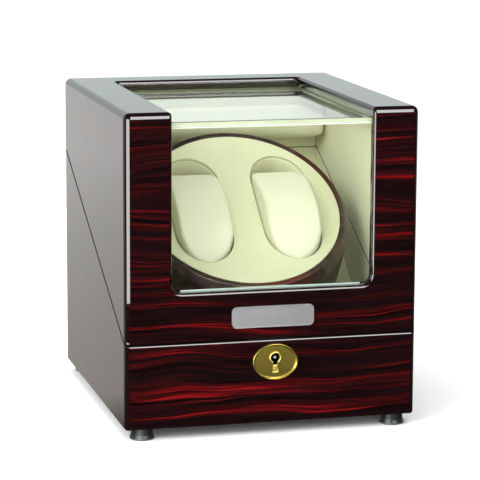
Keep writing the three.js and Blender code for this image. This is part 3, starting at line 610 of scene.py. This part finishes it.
def side_of(face):
    """Which surface of the case a face belongs to."""
    centre, normal = face.calc_center_median(), face.normal
    for name, off, turned in (("side", abs(centre.x) - HALF, abs(normal.x)),
                              ("front", centre.y - FRONT, -normal.y),
                              ("back", centre.y - BACK, normal.y), ("top", centre.z - TOP, normal.z),
                              ("underside", centre.z - UNDER, -normal.z)):
        if abs(off) < NEAR and turned > 0.9:
            return name
    on_seam = any(abs(centre.z - seam(centre.y)) < NEAR for seam in (base_top, lid_under))
    return "seam" if on_seam else "inside"


def case_edge_weight(edge):
    """The rounding of an edge of the case, as a share of EDGE."""
    sides = {side_of(face) for face in edge.link_faces}
    if sides <= {"side", "front", "back", "top"}:
        return 1.0
    if "underside" in sides and "inside" not in sides:
        return FOOT_EDGE / EDGE
    if "seam" in sides and "inside" not in sides:
        return SEAM_EDGE / EDGE
    if "seam" in sides:
        return SEAM_INNER_EDGE / EDGE
    if sides & {"front", "top"}:
        return WINDOW_EDGE / EDGE
    return 0.0


def keyhole(name, radius, slot_half, drop, y0, y1):
    """A cutter: a round hole over a slot."""
    start = -degrees(acos(slot_half / radius))
    points = arc((KEYHOLE_X, KEYHOLE_Z), radius, start, 180 - start, 28)
    points += [(KEYHOLE_X - slot_half, KEYHOLE_Z - drop), (KEYHOLE_X + slot_half, KEYHOLE_Z - drop)]
    return prism(name, points, "Y", y0, y1)


def shell(name, outline, *cutters):
    """A lacquered shell as wide as the case, cut out and with its edges rounded."""
    piece = prism(name, outline, "X", -HALF, HALF, LACQUER)
    tidy_flats(carve(piece, *cutters))
    weigh_edges(piece, case_edge_weight)
    return settle(round_edges(piece, EDGE, 6, weighted=True))


def case_base():
    """The base's five boards, with the seats of the lock and the controls."""
    outer = shell(
        "base_case", side_view(FRONT, BACK, UNDER, base_top),
        block("inside", BETWEEN_SIDES, (BASE_INNER_FRONT, INNER_BACK),
              (high("base_bottom_panel").z, TOP)))
    lock = low("lock_case")
    ledge = high("control_plate").y - INNER_BACK
    carve(outer, around("mortise", "lock_case", EASE, z=(lock.z - EASE, TOP)),
          around("recess", "control_plate", EASE, y=(BACK - 5.3 * MM, BACK + WALL)),
          around("opening", "control_plate", -ledge, y=(INNER_BACK - WALL, BACK)),
          keyhole("hole", 3.15 * MM, 1.7 * MM, 8.9 * MM, FRONT - WALL, lock.y))
    finish_piece(outer, "base", [
        f"base_{word}_panel" for word in ("left", "right", "front", "back", "bottom")])


def window_cutter():
    """The L-shaped opening for the two panes: down the front to the sill and back over the top."""
    far = TOP + 40 * MM
    width = WINDOW_HALF
    radius = WINDOW_CORNER
    front = [(-width, far)] + arc((-width + radius, SILL + radius), radius, 180, 270, 6)
    front += arc((width - radius, SILL + radius), radius, 270, 360, 6) + [(width, far)]
    cutter = prism("window", front, "Y", FRONT - WALL, LID_INNER_FRONT + NEAR)
    small = radius / 2
    over = [(-width, FRONT - WALL), (width, FRONT - WALL)]
    over += arc((width - small, OPENING_BACK - small), small, 0, 90, 5)
    over += arc((-width + small, OPENING_BACK - small), small, 90, 180, 5)
    top = prism("window_top", over, "Z", FRAME_UNDER - NEAR, far)
    return carve(cutter, top, operation="UNION")


def glass_rebates():
    """What the frame gives up for the panes."""
    top_high = high("top_glass")
    front_low, front_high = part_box("front_glass")
    across = (-top_high.x - EASE, top_high.x + EASE)
    upper = top_high.z + EASE
    groove = block("groove", across, (front_low.y - EASE, front_high.y + EASE),
                   (front_low.z - EASE, upper))
    behind = block("behind", across, (front_high.y, LID_INNER_FRONT + NEAR), (SILL, upper))
    above = block("above", across, (front_low.y - EASE, top_high.y + EASE),
                  (FRAME_UNDER - NEAR, upper))
    return groove, behind, above


def case_lid():
    """The lid's nine boards, open for the panes."""
    outer = shell(
        "lid_case", side_view(FRONT, BACK, lid_under, TOP),
        block("inside", BETWEEN_SIDES, (LID_INNER_FRONT, INNER_BACK), (UNDER, FRAME_UNDER)),
        window_cutter(), *glass_rebates())
    finish_piece(outer, "lid", [f"lid_{word}" for word in (
        "left_panel", "right_panel", "left_stile", "right_stile", "left_top_rail", "right_top_rail",
        "front_rail", "back_top_rail", "back_panel")])


def pane(name, node, outer_axis):
    """A pane with ground edges between two arrises: a dark green one (painted shade) and a pale one
    (painted highlight).
    """
    materials = (GLASS, GLASS_EDGE, PANE_PAINTED_DARK_ARRIS, PANE_PAINTED_HIGHLIGHT)
    piece = block(name, *zip(*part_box(node)), *materials)
    settle(round_edges(piece, 0.5 * MM, 2))
    for polygon in piece.data.polygons:
        # The arris facing along the axis is painted dark (painted shade), the other pale (painted
        # highlight).
        turned = polygon.normal[outer_axis]
        arris = PANE_PAINTED_DARK_ARRIS if turned > 0 else PANE_PAINTED_HIGHLIGHT
        made_of = GLASS if abs(turned) > 0.99 else GLASS_EDGE if abs(turned) < 0.05 else arris
        polygon.material_index = materials.index(made_of)
    finish_piece(piece, "lid", [node])


def glazing_seal():
    """A fine clear bead that seals the foot of the front pane to the sill."""
    glass_front = low("front_glass").y
    reach, rise, root = 0.8 * MM, 1.0 * MM, SILL - 0.3 * MM
    section = [(glass_front - reach, root), (glass_front, root), (glass_front, SILL + rise)]
    section += [(glass_front - reach * sin(t), SILL + rise * cos(t))
                for t in (radians(angle) for angle in (25, 50, 70, 90))]
    half = WINDOW_HALF - WINDOW_CORNER
    piece = prism("glazing_bead", section, "X", -half, half, SEAL)
    finish_piece(piece, "lid")


case_base()
case_lid()
pane("top_pane", "top_glass", 2)
pane("front_pane", "front_glass", 1)
glazing_seal()


# ---- Rotor ----

CUP_STRAIGHT = 22 * MM  # half length of a cup's straight sides
CUP_WALL = 1.2 * MM
ROTOR_GAP = 0.3 * MM
FACE_LIP = 2.4 * MM  # thickness of the face board where it laps over a cup


def rounded(points, radii, steps=4):
    """A closed outline with its corners rounded by the given radii."""
    result = []
    for i, (point, radius) in enumerate(zip(points, radii)):
        corner = Vector(point)
        if not radius:
            result.append(point)
            continue
        before = (Vector(points[i - 1]) - corner).normalized()
        after = (Vector(points[(i + 1) % len(points)]) - corner).normalized()
        reach = radius / tan(before.angle(after) / 2)
        start, end = corner + before * reach, corner + after * reach
        for step in range(steps + 1):
            t = step / steps
            result.append(tuple(start * (1 - t) ** 2 + corner * 2 * t * (1 - t) + end * t ** 2))
    return result


def drum_ring():
    """The burl ring, with a flat rim, a wide soft bevel and two fine turned lines."""
    ring_low, ring_high = rotor_box("rotor_drum")
    outer, bottom, top = ring_high.x, ring_low.z, ring_high.z
    inner = rotor_box("rotor_face")[1].x + ROTOR_GAP
    bevel_in, bevel_down = 3.5 * MM, 5.5 * MM
    groove = 0.3 * MM
    lines = []
    for line in (bottom + 6 * MM, top - 13 * MM):
        lines += [(outer, line - 2 * groove), (outer - groove, line - groove),
                  (outer - groove, line + groove), (outer, line + 2 * groove)]
    points = [(inner, bottom), (outer, bottom), *lines, (outer, top - bevel_down),
              (outer - bevel_in, top), (inner, top)]
    radii = [0, 0.5 * MM, *([0] * len(lines)), 2.2 * MM, 1.2 * MM, 0.35 * MM]
    piece = lathe("drum_ring", rounded(points, radii), 160, BURL)
    finish_piece(piece, "rotor", ["rotor_drum"], ROTOR)


def oval(centre_x, half_width, end, grow, steps=22):
    """A cup's outline: straight sides with half an ellipse at each end."""
    points = []
    for middle, start in ((CUP_STRAIGHT, 0), (-CUP_STRAIGHT, 180)):
        for i in range(steps + 1):
            angle = radians(start + 180 * i / steps)
            points.append((centre_x + (half_width + grow) * cos(angle),
                           middle + (end + grow) * sin(angle)))
    return points


def cup_measures(word):
    """Middle, half width and end rise of a cup's inside, and its depth."""
    cup_low, cup_high = rotor_box(f"watch_cup_{word}")
    centre = (cup_low.x + cup_high.x) / 2
    return (centre, cup_high.x - centre - CUP_WALL, cup_high.y - CUP_STRAIGHT - CUP_WALL, cup_low.z)


def watch_cup(word):
    """A deep moulded cup covered in leatherette, its rim under the lip of the face board."""
    centre, half_width, end, bottom = cup_measures(word)
    fillet, bead, rim = 3 * MM, CUP_WALL / 2, -FACE_LIP - 0.8 * MM
    inside = arc((-fillet, bottom + CUP_WALL + fillet), fillet, 270, 360, 5)
    rolled = arc((bead, rim), bead, 205, -25, 10)
    stations = inside + rolled + [(CUP_WALL, bottom + CUP_WALL), (0, bottom)]
    outlines = [[(x, y, height) for x, y in oval(centre, half_width, end, grow)]
                for grow, height in stations]
    piece = loft(f"cup_shell_{word}", outlines, CUP_CREAM_PAINTED_LIGHT)
    finish_piece(piece, "rotor", [f"watch_cup_{word}"], ROTOR)


def face_board():
    """The round board, its edges soft. Its two openings lap over the cups' rims."""
    board_low, board_high = rotor_box("rotor_face")
    outline = arc((0, 0), board_high.x, 0, 357, 119)
    piece = prism("face_wrap", outline, "Z", board_low.z, board_high.z, FACE_CREAM_PAINTED_SHADE)
    cutters = []
    for word in ("left", "right"):
        centre, half_width, end, _ = cup_measures(word)
        opening = oval(centre, half_width, end, 0.1 * MM)
        seat = oval(centre, half_width, end, CUP_WALL + ROTOR_GAP)
        cutters.append(prism("opening", opening, "Z", board_low.z - MM, board_high.z + MM))
        cutters.append(prism("seat", seat, "Z", board_low.z - 2 * MM, board_high.z - FACE_LIP))
    carve(piece, *cutters)
    tidy_flats(piece)
    settle(round_edges(piece, 1.1 * MM, 4, angle=50))
    finish_piece(piece, "rotor", ["rotor_face"], ROTOR)


# ---- Soft parts ----

PRESSURE = 4.0  # inside the cloth
STEPS = 20  # frames that the cloth runs for


def swell(piece, voxel, shrink, cap, relax):
    """Fills a closed shape as padding does: cloth under pressure, with no point moving past cap."""
    remesh = piece.modifiers.new("remesh", "REMESH")
    remesh.mode = "VOXEL"
    remesh.voxel_size = voxel
    smooth = piece.modifiers.new("smooth", "SMOOTH")
    smooth.factor, smooth.iterations = 0.5, relax
    settle(piece)
    with edited(piece) as made:
        made.normal_update()
        for vertex in made.verts:
            vertex.co -= vertex.normal * shrink
    before = [vertex.co.copy() for vertex in piece.data.vertices]
    cloth = piece.modifiers.new("cloth", "CLOTH")
    cloth.settings.use_pressure = True
    cloth.settings.uniform_pressure_force = PRESSURE
    cloth.settings.effector_weights.gravity = 0
    scene = bpy.context.scene
    for step in range(STEPS):
        scene.frame_set(1 + step)
    settle(piece)
    scene.frame_set(1)
    for vertex, start in zip(piece.data.vertices, before):
        moved = vertex.co - start
        if moved.length > cap:
            vertex.co = start + moved * (cap / moved.length)
    finer = piece.modifiers.new("finer", "SUBSURF")
    finer.levels = finer.render_levels = 1
    return settle(piece)


def watch_cushion(word):
    """An arched pad with soft shoulders that a watch strap closes round."""
    mesh = NODES[f"cushion_{word}"].data.copy()
    mesh.materials.clear()
    piece = add_object(f"watch_pad_{word}", mesh, CUSHION_CREAM_PAINTED_SHADE)
    swell(piece, 1.6 * MM, 0.0, 0.6 * MM, 4)
    finish_piece(piece, f"cushion_{word}", [f"cushion_{word}"], flats=False)


def back_pad():
    """The padded block under the back rail, and the flat lining below it."""
    block_low, block_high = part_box("lid_back_pad")
    lining = low("lid_back_panel").y - 1.5 * MM
    margin = 0.7 * MM
    front, back = block_low.y + margin, lining - NEAR
    bottom, top = PAD_BOTTOM + margin, block_high.z - margin
    outline = [(front, top), (front, bottom), (back, bottom), (back, top)]
    piece = prism("padded_block", outline, "X", block_low.x + margin, block_high.x - margin, CREAM)
    settle(round_edges(piece, 5.5 * MM, 4))
    swell(piece, 3.4 * MM, 0.2 * MM, 0.9 * MM, 3)
    finish_piece(piece, "lid", ["lid_back_pad"], flats=False)

    sheet = prism("back_lining", side_view(lining, INNER_BACK, lid_under, block_high.z), "X",
                  block_low.x, block_high.x, CREAM)
    settle(round_edges(sheet, 0.4 * MM, 2))
    finish_piece(sheet, "lid", ["lid_back_pad"])


def side_linings():
    """Leatherette on card: the cut edges along the seam are painted dark, painted shade in the seam's
    gap.
    """
    materials = (CREAM, LINING_EDGE_PAINTED_SHADE)
    for side in ("left", "right"):
        for part in ("base", "lid"):
            near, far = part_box(f"{part}_{side}_lining")
            limits = (near.z, base_top) if part == "base" else (lid_under, far.z)
            sheet = prism(f"{part}_{side}_sheet", side_view(near.y, far.y, *limits), "X",
                          near.x, far.x, *materials)
            settle(round_edges(sheet, 0.25 * MM, 2))
            for polygon in sheet.data.polygons:
                flat = abs(polygon.normal.x) > 0.5
                polygon.material_index = materials.index(CREAM if flat else LINING_EDGE_PAINTED_SHADE)
            finish_piece(sheet, part, [f"{part}_{side}_lining"])


def deck_roll():
    """A leatherette roll that closes the slit between the deck's lining and the back lining."""
    deck_low, deck_high = rotor_box("deck_lining")
    radius, gap = 2.1 * MM, 0.3 * MM
    centre = ROTOR @ Vector((0, deck_high.y + radius + gap, (deck_low.z + deck_high.z) / 2))
    outline = [(centre.y + radius * cos(turn), centre.z + radius * sin(turn))
               for turn in full_turn(20)]
    piece = prism("deck_roll", outline, "X", deck_low.x, deck_high.x, CREAM)
    settle(round_edges(piece, 0.4 * MM, 2, angle=60))
    finish_piece(piece, "base")


# ---- Fittings ----

def name_plate():
    """A blank silver plate: a brushed field inside a thin polished border."""
    plate_low, plate_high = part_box("name_plate")
    border, sunk, corner = 0.6 * MM, 0.08 * MM, 3 * MM
    limits = ((plate_low.x, plate_high.x), (plate_low.z, plate_high.z))
    materials = (SILVER_EDGE, SILVER)
    piece = prism("silver_plate", rounded_outline(*limits, corner, 6), "Y",
                  plate_low.y, plate_high.y, *materials)
    field = [(start + border, end - border) for start, end in limits]
    carve(piece, prism("field", rounded_outline(*field, corner - border, 6), "Y",
                       plate_low.y - MM, plate_low.y + sunk))
    tidy_flats(piece)
    settle(round_edges(piece, 0.06 * MM, 2))
    for polygon in piece.data.polygons:
        if polygon.normal.y < -0.99 and polygon.center.y > plate_low.y + sunk / 2:
            polygon.material_index = materials.index(SILVER)
    finish_piece(piece, "lid", ["name_plate"])


def escutcheon():
    """An oval brass plate with a raised rim, and a keyhole with the lock's pin standing in it."""
    plate_low, plate_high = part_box("escutcheon")
    half_x, half_z = (plate_high.x - plate_low.x) / 2, (plate_high.z - plate_low.z) / 2
    centre_z = (plate_high.z + plate_low.z) / 2
    rise = plate_high.y - plate_low.y
    rim = 0.32 * MM
    through = (plate_low.y - MM, plate_high.y + MM)
    stations = [(0.0, 0.0)]  # in from the edge, and proud of the wood
    stations += [(rim + x, rise - rim + y) for x, y in arc((0, 0), rim, 180, 20, 8)]
    stations += [(1.0 * MM, 0.50 * MM), (1.4 * MM, 0.60 * MM), (4.2 * MM, 0.62 * MM),
                 (7.0 * MM, 0.64 * MM)]
    outlines = [[(KEYHOLE_X + (half_x - inset) * cos(turn), plate_high.y - proud,
                  centre_z + (half_z - inset) * sin(turn)) for turn in full_turn(96)]
                for inset, proud in stations]
    piece = loft("keyhole_plate", outlines, BRASS)
    carve(piece, keyhole("cut", 2.9 * MM, 1.4 * MM, 8.5 * MM, *through))
    finish_piece(piece, "base", ["escutcheon"])
    keyhole_collar(plate_high.y, through)
    keyhole_guard(plate_high.y)
    lock_pin_tip()


def keyhole_collar(wood, through):
    """A raised ring round the keyhole, open at the slot."""
    hole, wall, slot_half = 2.75 * MM, 0.95 * MM, 1.4 * MM
    profile = [(hole, -MM), *arc((hole + wall / 2, 0), wall / 2, 180, 0, 8), (hole + wall, -MM)]
    collar = lathe("keyhole_collar", profile, 64, BRASS_PAINTED_LIGHT)
    collar.data.transform(Matrix.Translation((KEYHOLE_X, wood - 1.1 * MM, KEYHOLE_Z)) @ TO_FRONT)
    carve(collar, block("slot", (KEYHOLE_X - slot_half, KEYHOLE_X + slot_half), through,
                        (KEYHOLE_Z - 8 * MM, KEYHOLE_Z)))
    finish_piece(collar, "base")


def keyhole_guard(wood):
    """A small block that fills the foot of the keyhole's slot."""
    half = 1.35 * MM
    guard = block("keyhole_guard", (KEYHOLE_X - half, KEYHOLE_X + half),
                  (wood - 0.7 * MM, wood + 0.6 * MM),
                  (KEYHOLE_Z - 8.4 * MM, KEYHOLE_Z - 4.4 * MM), BRASS_PAINTED_LIGHT)
    settle(round_edges(guard, 0.4 * MM, 3))
    finish_piece(guard, "base")


def lock_pin_tip():
    """The rounded end of the pin that a key fits over."""
    radius, top = 0.95 * MM, 1.6 * MM
    profile = [(0, 0), (radius, 0), (radius, 1.0 * MM), (0.6 * MM, 1.5 * MM), (0, top)]
    tip = lathe("lock_pin_tip", profile, 24, STEEL)
    tip.data.transform(Matrix.Translation((KEYHOLE_X, FRONT + 0.9 * MM, KEYHOLE_Z)) @ TO_FRONT)
    finish_piece(tip, "base")


def foot(node):
    """A turned rubber foot with a lighter rim below, a painted reflection of the floor, and a hollow
    for its screw.
    """
    foot_low, foot_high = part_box(node)
    radius = (foot_high.x - foot_low.x) / 2
    height = foot_high.z - foot_low.z
    hollow, deep = 3.1 * MM, 2.6 * MM
    neck, lip, top_round = radius - 0.9 * MM, 0.7 * MM, 0.5 * MM
    profile = [(0, height), (neck - top_round, height)]
    profile += arc((neck - top_round, height - top_round), top_round, 90, 0, 3)
    profile += [(neck + 0.1 * MM, 3.4 * MM), (radius - 0.5 * MM, 2.2 * MM),
                (radius - 0.1 * MM, 1.6 * MM)]
    profile += arc((radius - lip, lip), lip, 30, -90, 5)
    profile += [(hollow + 0.4 * MM, 0), (hollow, 0.4 * MM), (hollow, deep), (0, deep)]
    piece = lathe(f"{node}_turned", profile, 64, RUBBER, RUBBER_PAINTED_REFLECTION)
    # Painted reflection: the lower rim is lighter.
    for polygon in piece.data.polygons:
        polygon.material_index = 1 if polygon.center.z < 1.2 * MM and polygon.normal.z > -0.8 else 0
    middle = (foot_low + foot_high) / 2
    piece.data.transform(Matrix.Translation((middle.x, middle.y, foot_low.z)))
    finish_piece(piece, "base", [node])
    below = (Matrix.Translation((middle.x, middle.y, foot_low.z + deep))
             @ Matrix.Rotation(pi, 4, "X"))
    screw(f"{node}_screw", below, 2.2 * MM, 0.9 * MM, STEEL, "base")


def screw(name, matrix, radius, height, material, body):
    """A round-headed screw with a crossed recess, standing along the matrix's Z."""
    profile = [(0, -height), (radius * 0.6, -height), (radius, 0)]
    profile += [(radius * cos(t), height * sin(t)) for t in
                (radians(angle) for angle in (18, 36, 54, 72))]
    piece = lathe(name, profile + [(0, height)], 28, material)
    arm, half = radius * 0.62, radius * 0.13
    cross = block("cross", (-arm, arm), (-half, half), (height * 0.35, height * 2))
    other = block("cross", (-half, half), (-arm, arm), (height * 0.36, height * 2.1))
    carve(piece, cross, other)
    finish_piece(piece, body, (), matrix, flats=False)
    weighted_normals(piece, settled=False)


def hinge_screws():
    """Two rows of screws hold each hinge leaf."""
    for side in ("left", "right"):
        for part in ("base", "lid"):
            leaf_low, leaf_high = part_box(f"hinge_{side}_{part}_leaf")
            middle = (leaf_low.x + leaf_high.x) / 2
            away = 1 if part == "lid" else -1
            pin_z = (leaf_low.z if part == "lid" else leaf_high.z) + away * 2.6 * MM
            for i, (x, z) in enumerate(((-9, 6), (9, 6), (-4.5, 11), (4.5, 11))):
                place = Matrix.Translation((middle + x * MM, BACK + 1.3 * MM, pin_z + away * z * MM))
                turn = Matrix.Rotation(0.4 + 0.7 * i, 4, "Z")
                screw(f"hinge_{side}_{part}_screw_{i + 1}", place @ TO_BACK @ turn, 1.5 * MM,
                      0.45 * MM, BRASS, part)


def control_details():
    """Four screws in the plate's corners and five raised marks round the knob."""
    plate_low, plate_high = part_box("control_plate")
    knob_low, knob_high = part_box("mode_knob")
    inset = 3 * MM
    left, right = plate_low.x + inset, plate_high.x - inset
    bottom, top = plate_low.z + inset, plate_high.z - inset
    for i, (x, z) in enumerate(((left, bottom), (right, bottom), (right, top), (left, top))):
        place = Matrix.Translation((x, plate_high.y, z)) @ TO_BACK @ Matrix.Rotation(0.5 * i, 4, "Z")
        screw(f"plate_screw_{i + 1}", place, 1.6 * MM, 0.6 * MM, STEEL, "base")
    middle = Vector(((knob_low.x + knob_high.x) / 2, plate_high.y, (knob_low.z + knob_high.z) / 2))
    for i in range(5):
        turn = Matrix.Rotation(radians(67.5 * i), 4, "Y")
        mark = block(f"knob_mark_{i + 1}", (-0.35 * MM, 0.35 * MM), (-0.2 * MM, 0.25 * MM),
                     (9 * MM, 11.5 * MM), WHITE_PLASTIC)
        settle(round_edges(mark, 0.12 * MM, 2))
        finish_piece(mark, "base", (), Matrix.Translation(middle) @ turn,
                     flats=False)


def dress(piece, material, edge):
    """Gives a frame node its material, and rounds and smooths its edges."""
    for slot in piece.material_slots:
        slot.material = material
    if not piece.material_slots:
        piece.data.materials.append(material)
    piece.modifiers.new("weld", "WELD").merge_threshold = 1e-6
    round_edges(piece, edge, 2, angle=35)
    weighted_normals(piece, settled=False)


def carried_over():
    """Frame nodes whose shape is right as it is."""
    for material, edge, names in (
            (CREAM, 0.35, "base_back_lining deck_lining"),
            (FIBREBOARD, 0.25, "deck_board deck_batten_left deck_batten_right rotor_drum_floor"),
            (WHITE_PLASTIC, 0.15, "deck_bearing motor_pinion driven_gear"),
            (STEEL, 0.2, "motor_body motor_bracket rotor_shaft retaining_ring "
                         "hinge_left_pin hinge_right_pin"),
            (DARK_STEEL, 0.2, "lock_case lid_lock_link"),
            (BRASS, 0.25, "lock_bolt hinge_left_base_leaf hinge_left_lid_leaf "
                          "hinge_right_base_leaf hinge_right_lid_leaf"),
            (BLACK_PLASTIC, 0.3, "control_plate power_switch mode_knob power_inlet"),
            (GREEN_BOARD, 0.15, "circuit_board")):
        for name in names.split():
            dress(NODES[name], material, edge * MM)


drum_ring()
face_board()
for word in ("left", "right"):
    watch_cup(word)
    watch_cushion(word)
back_pad()
side_linings()
deck_roll()
name_plate()
escutcheon()
for node in [name for name in NODES if name.startswith("foot_")]:
    foot(node)
hinge_screws()
control_details()
carried_over()


# ---- Stage, lights and world ----

def emitter(name, strength, corners):
    """A white card that only shows in reflections."""
    mesh = bpy.data.meshes.new(name)
    mesh.from_pydata(corners, [], [range(len(corners))])
    material, add = bare_material(name)
    show(material, add("Emission", {"Color": (1, 1, 1, 1), "Strength": strength}))
    card = add_object(name, mesh, material)
    card.visible_camera = card.visible_shadow = False
    card.visible_diffuse = card.visible_transmission = False


def floor():
    """A pale floor. Reflections see it as a glow that grows from the object's front to the back."""
    mesh = bpy.data.meshes.new("floor")
    reach = 6.0
    corners = [(-reach, -reach, 0), (reach, -reach, 0), (reach, reach, 0), (-reach, reach, 0)]
    mesh.from_pydata(corners, [], [range(len(corners))])
    shader = Shader("floor", roughness=1.0, specular_ior_level=0.0, base_color=(0.97, 0.97, 0.97, 1))
    place = shader.add("SeparateXYZ", {0: shader.place})
    depth = shader.add("MapRange", {
        "Value": place.outputs["Y"], "From Min": FRONT, "From Max": 1.1}).outputs[0]
    tone = shader.ramp(depth, (0.0, (0.004, 0.004, 0.004, 1)), (0.10, (0.62, 0.59, 0.55, 1)),
                       (0.55, (0.85, 0.83, 0.80, 1)), (1.0, (1.1, 1.1, 1.07, 1)))
    mirrored = shader.add("LightPath").outputs["Is Glossy Ray"]
    glow = shader.add("Emission", {"Color": tone})
    show(shader.material, shader.add("MixShader", {0: mirrored, 1: shader.surface, 2: glow}))
    add_object("floor", mesh, shader.material)


def area_light(name, place, target, size, power):
    """A soft light that faces target and doesn't show in reflections."""
    data = bpy.data.lights.new(name, "AREA")
    data.shape = "RECTANGLE"
    data.size, data.size_y = size
    data.energy = power
    light = bpy.data.objects.new(name, data)
    bpy.context.scene.collection.objects.link(light)
    turn = (Vector(target) - Vector(place)).to_track_quat("-Z", "Y")
    light.matrix_world = Matrix.Translation(place) @ turn.to_matrix().to_4x4()
    light.visible_glossy = False


def world():
    """White to the camera, soft light that is stronger from the left, and a room in reflections."""
    made = bpy.data.worlds.new("studio")
    bpy.context.scene.world = made
    made.use_nodes = True
    tree = made.node_tree
    add = partial(add_node, tree)
    backdrop = tree.nodes["Background"]
    backdrop.inputs["Color"].default_value = (1, 1, 1, 1)
    path = add("LightPath")

    # In reflections the room is bright behind the object and low down, and dark in front and above.
    direction = add("SeparateXYZ", {0: add("TexCoord").outputs["Generated"]})
    behind = add("MapRange", {"Value": direction.outputs["Y"], "From Min": -0.1, "From Max": 0.45})
    below = add("MapRange", {"Value": direction.outputs["Z"], "From Min": 0.75, "From Max": 0.30})
    share = add("Math", {0: behind, 1: below}, operation="MULTIPLY")
    room = add("MapRange", {"Value": share, "To Min": 0.01, "To Max": 0.96})
    mirrored = add("Background", {"Color": (0.90, 1.0, 0.99, 1), "Strength": room})
    level = add("MapRange", {
        "Value": direction.outputs["X"], "From Min": -1.0, "To Min": 1.68, "To Max": 0.38})
    soft = add("Background", {"Color": (1, 1, 1, 1), "Strength": level})
    seen = add("MixShader", {0: path.outputs["Is Camera Ray"], 1: soft, 2: backdrop})
    whole = add("MixShader", {0: path.outputs["Is Glossy Ray"], 1: seen, 2: mirrored})
    tree.links.new(whole.outputs[0], tree.nodes["World Output"].inputs["Surface"])


def low_cards(reach=0.40, height=0.27, count=5):
    """A curved wall of cards on the left, for the gleams along the front's left edges."""
    first, width = 10, 11  # degrees round from the front
    for i in range(count):
        turns = [radians(first + width * (i + step)) for step in (0, 1)]
        feet = [(-HALF - reach * sin(turn), FRONT - reach * cos(turn)) for turn in turns]
        emitter(f"low_card_{i + 1}", 13.0, [(*feet[0], 0.0), (*feet[1], 0.0), (*feet[1], height),
                                            (*feet[0], height)])


def high_card(bottom=0.28, top=1.4):
    """A tall card in front, for the gleams along the edges that face up."""
    y = FRONT - 0.9
    emitter("high_card", 14.0, [(0.05, y, bottom), (0.48, y, bottom), (0.68, y, top), (0.14, y, top)])


def studio():
    world()
    floor()
    bpy.context.scene.view_settings.view_transform = "Standard"
    area_light("key", (-1.05, -0.95, 0.88), (0.0, -0.02, 0.1), (0.6, 0.6), 14)
    area_light("fill", (-0.25, -1.8, 0.55), (0.0, 0.0, 0.12), (1.0, 0.8), 9)
    area_light("top", (0.1, -0.1, 1.5), (0.0, 0.0, 0.1), (1.2, 0.9), 9)
    low_cards()
    high_card()


studio()
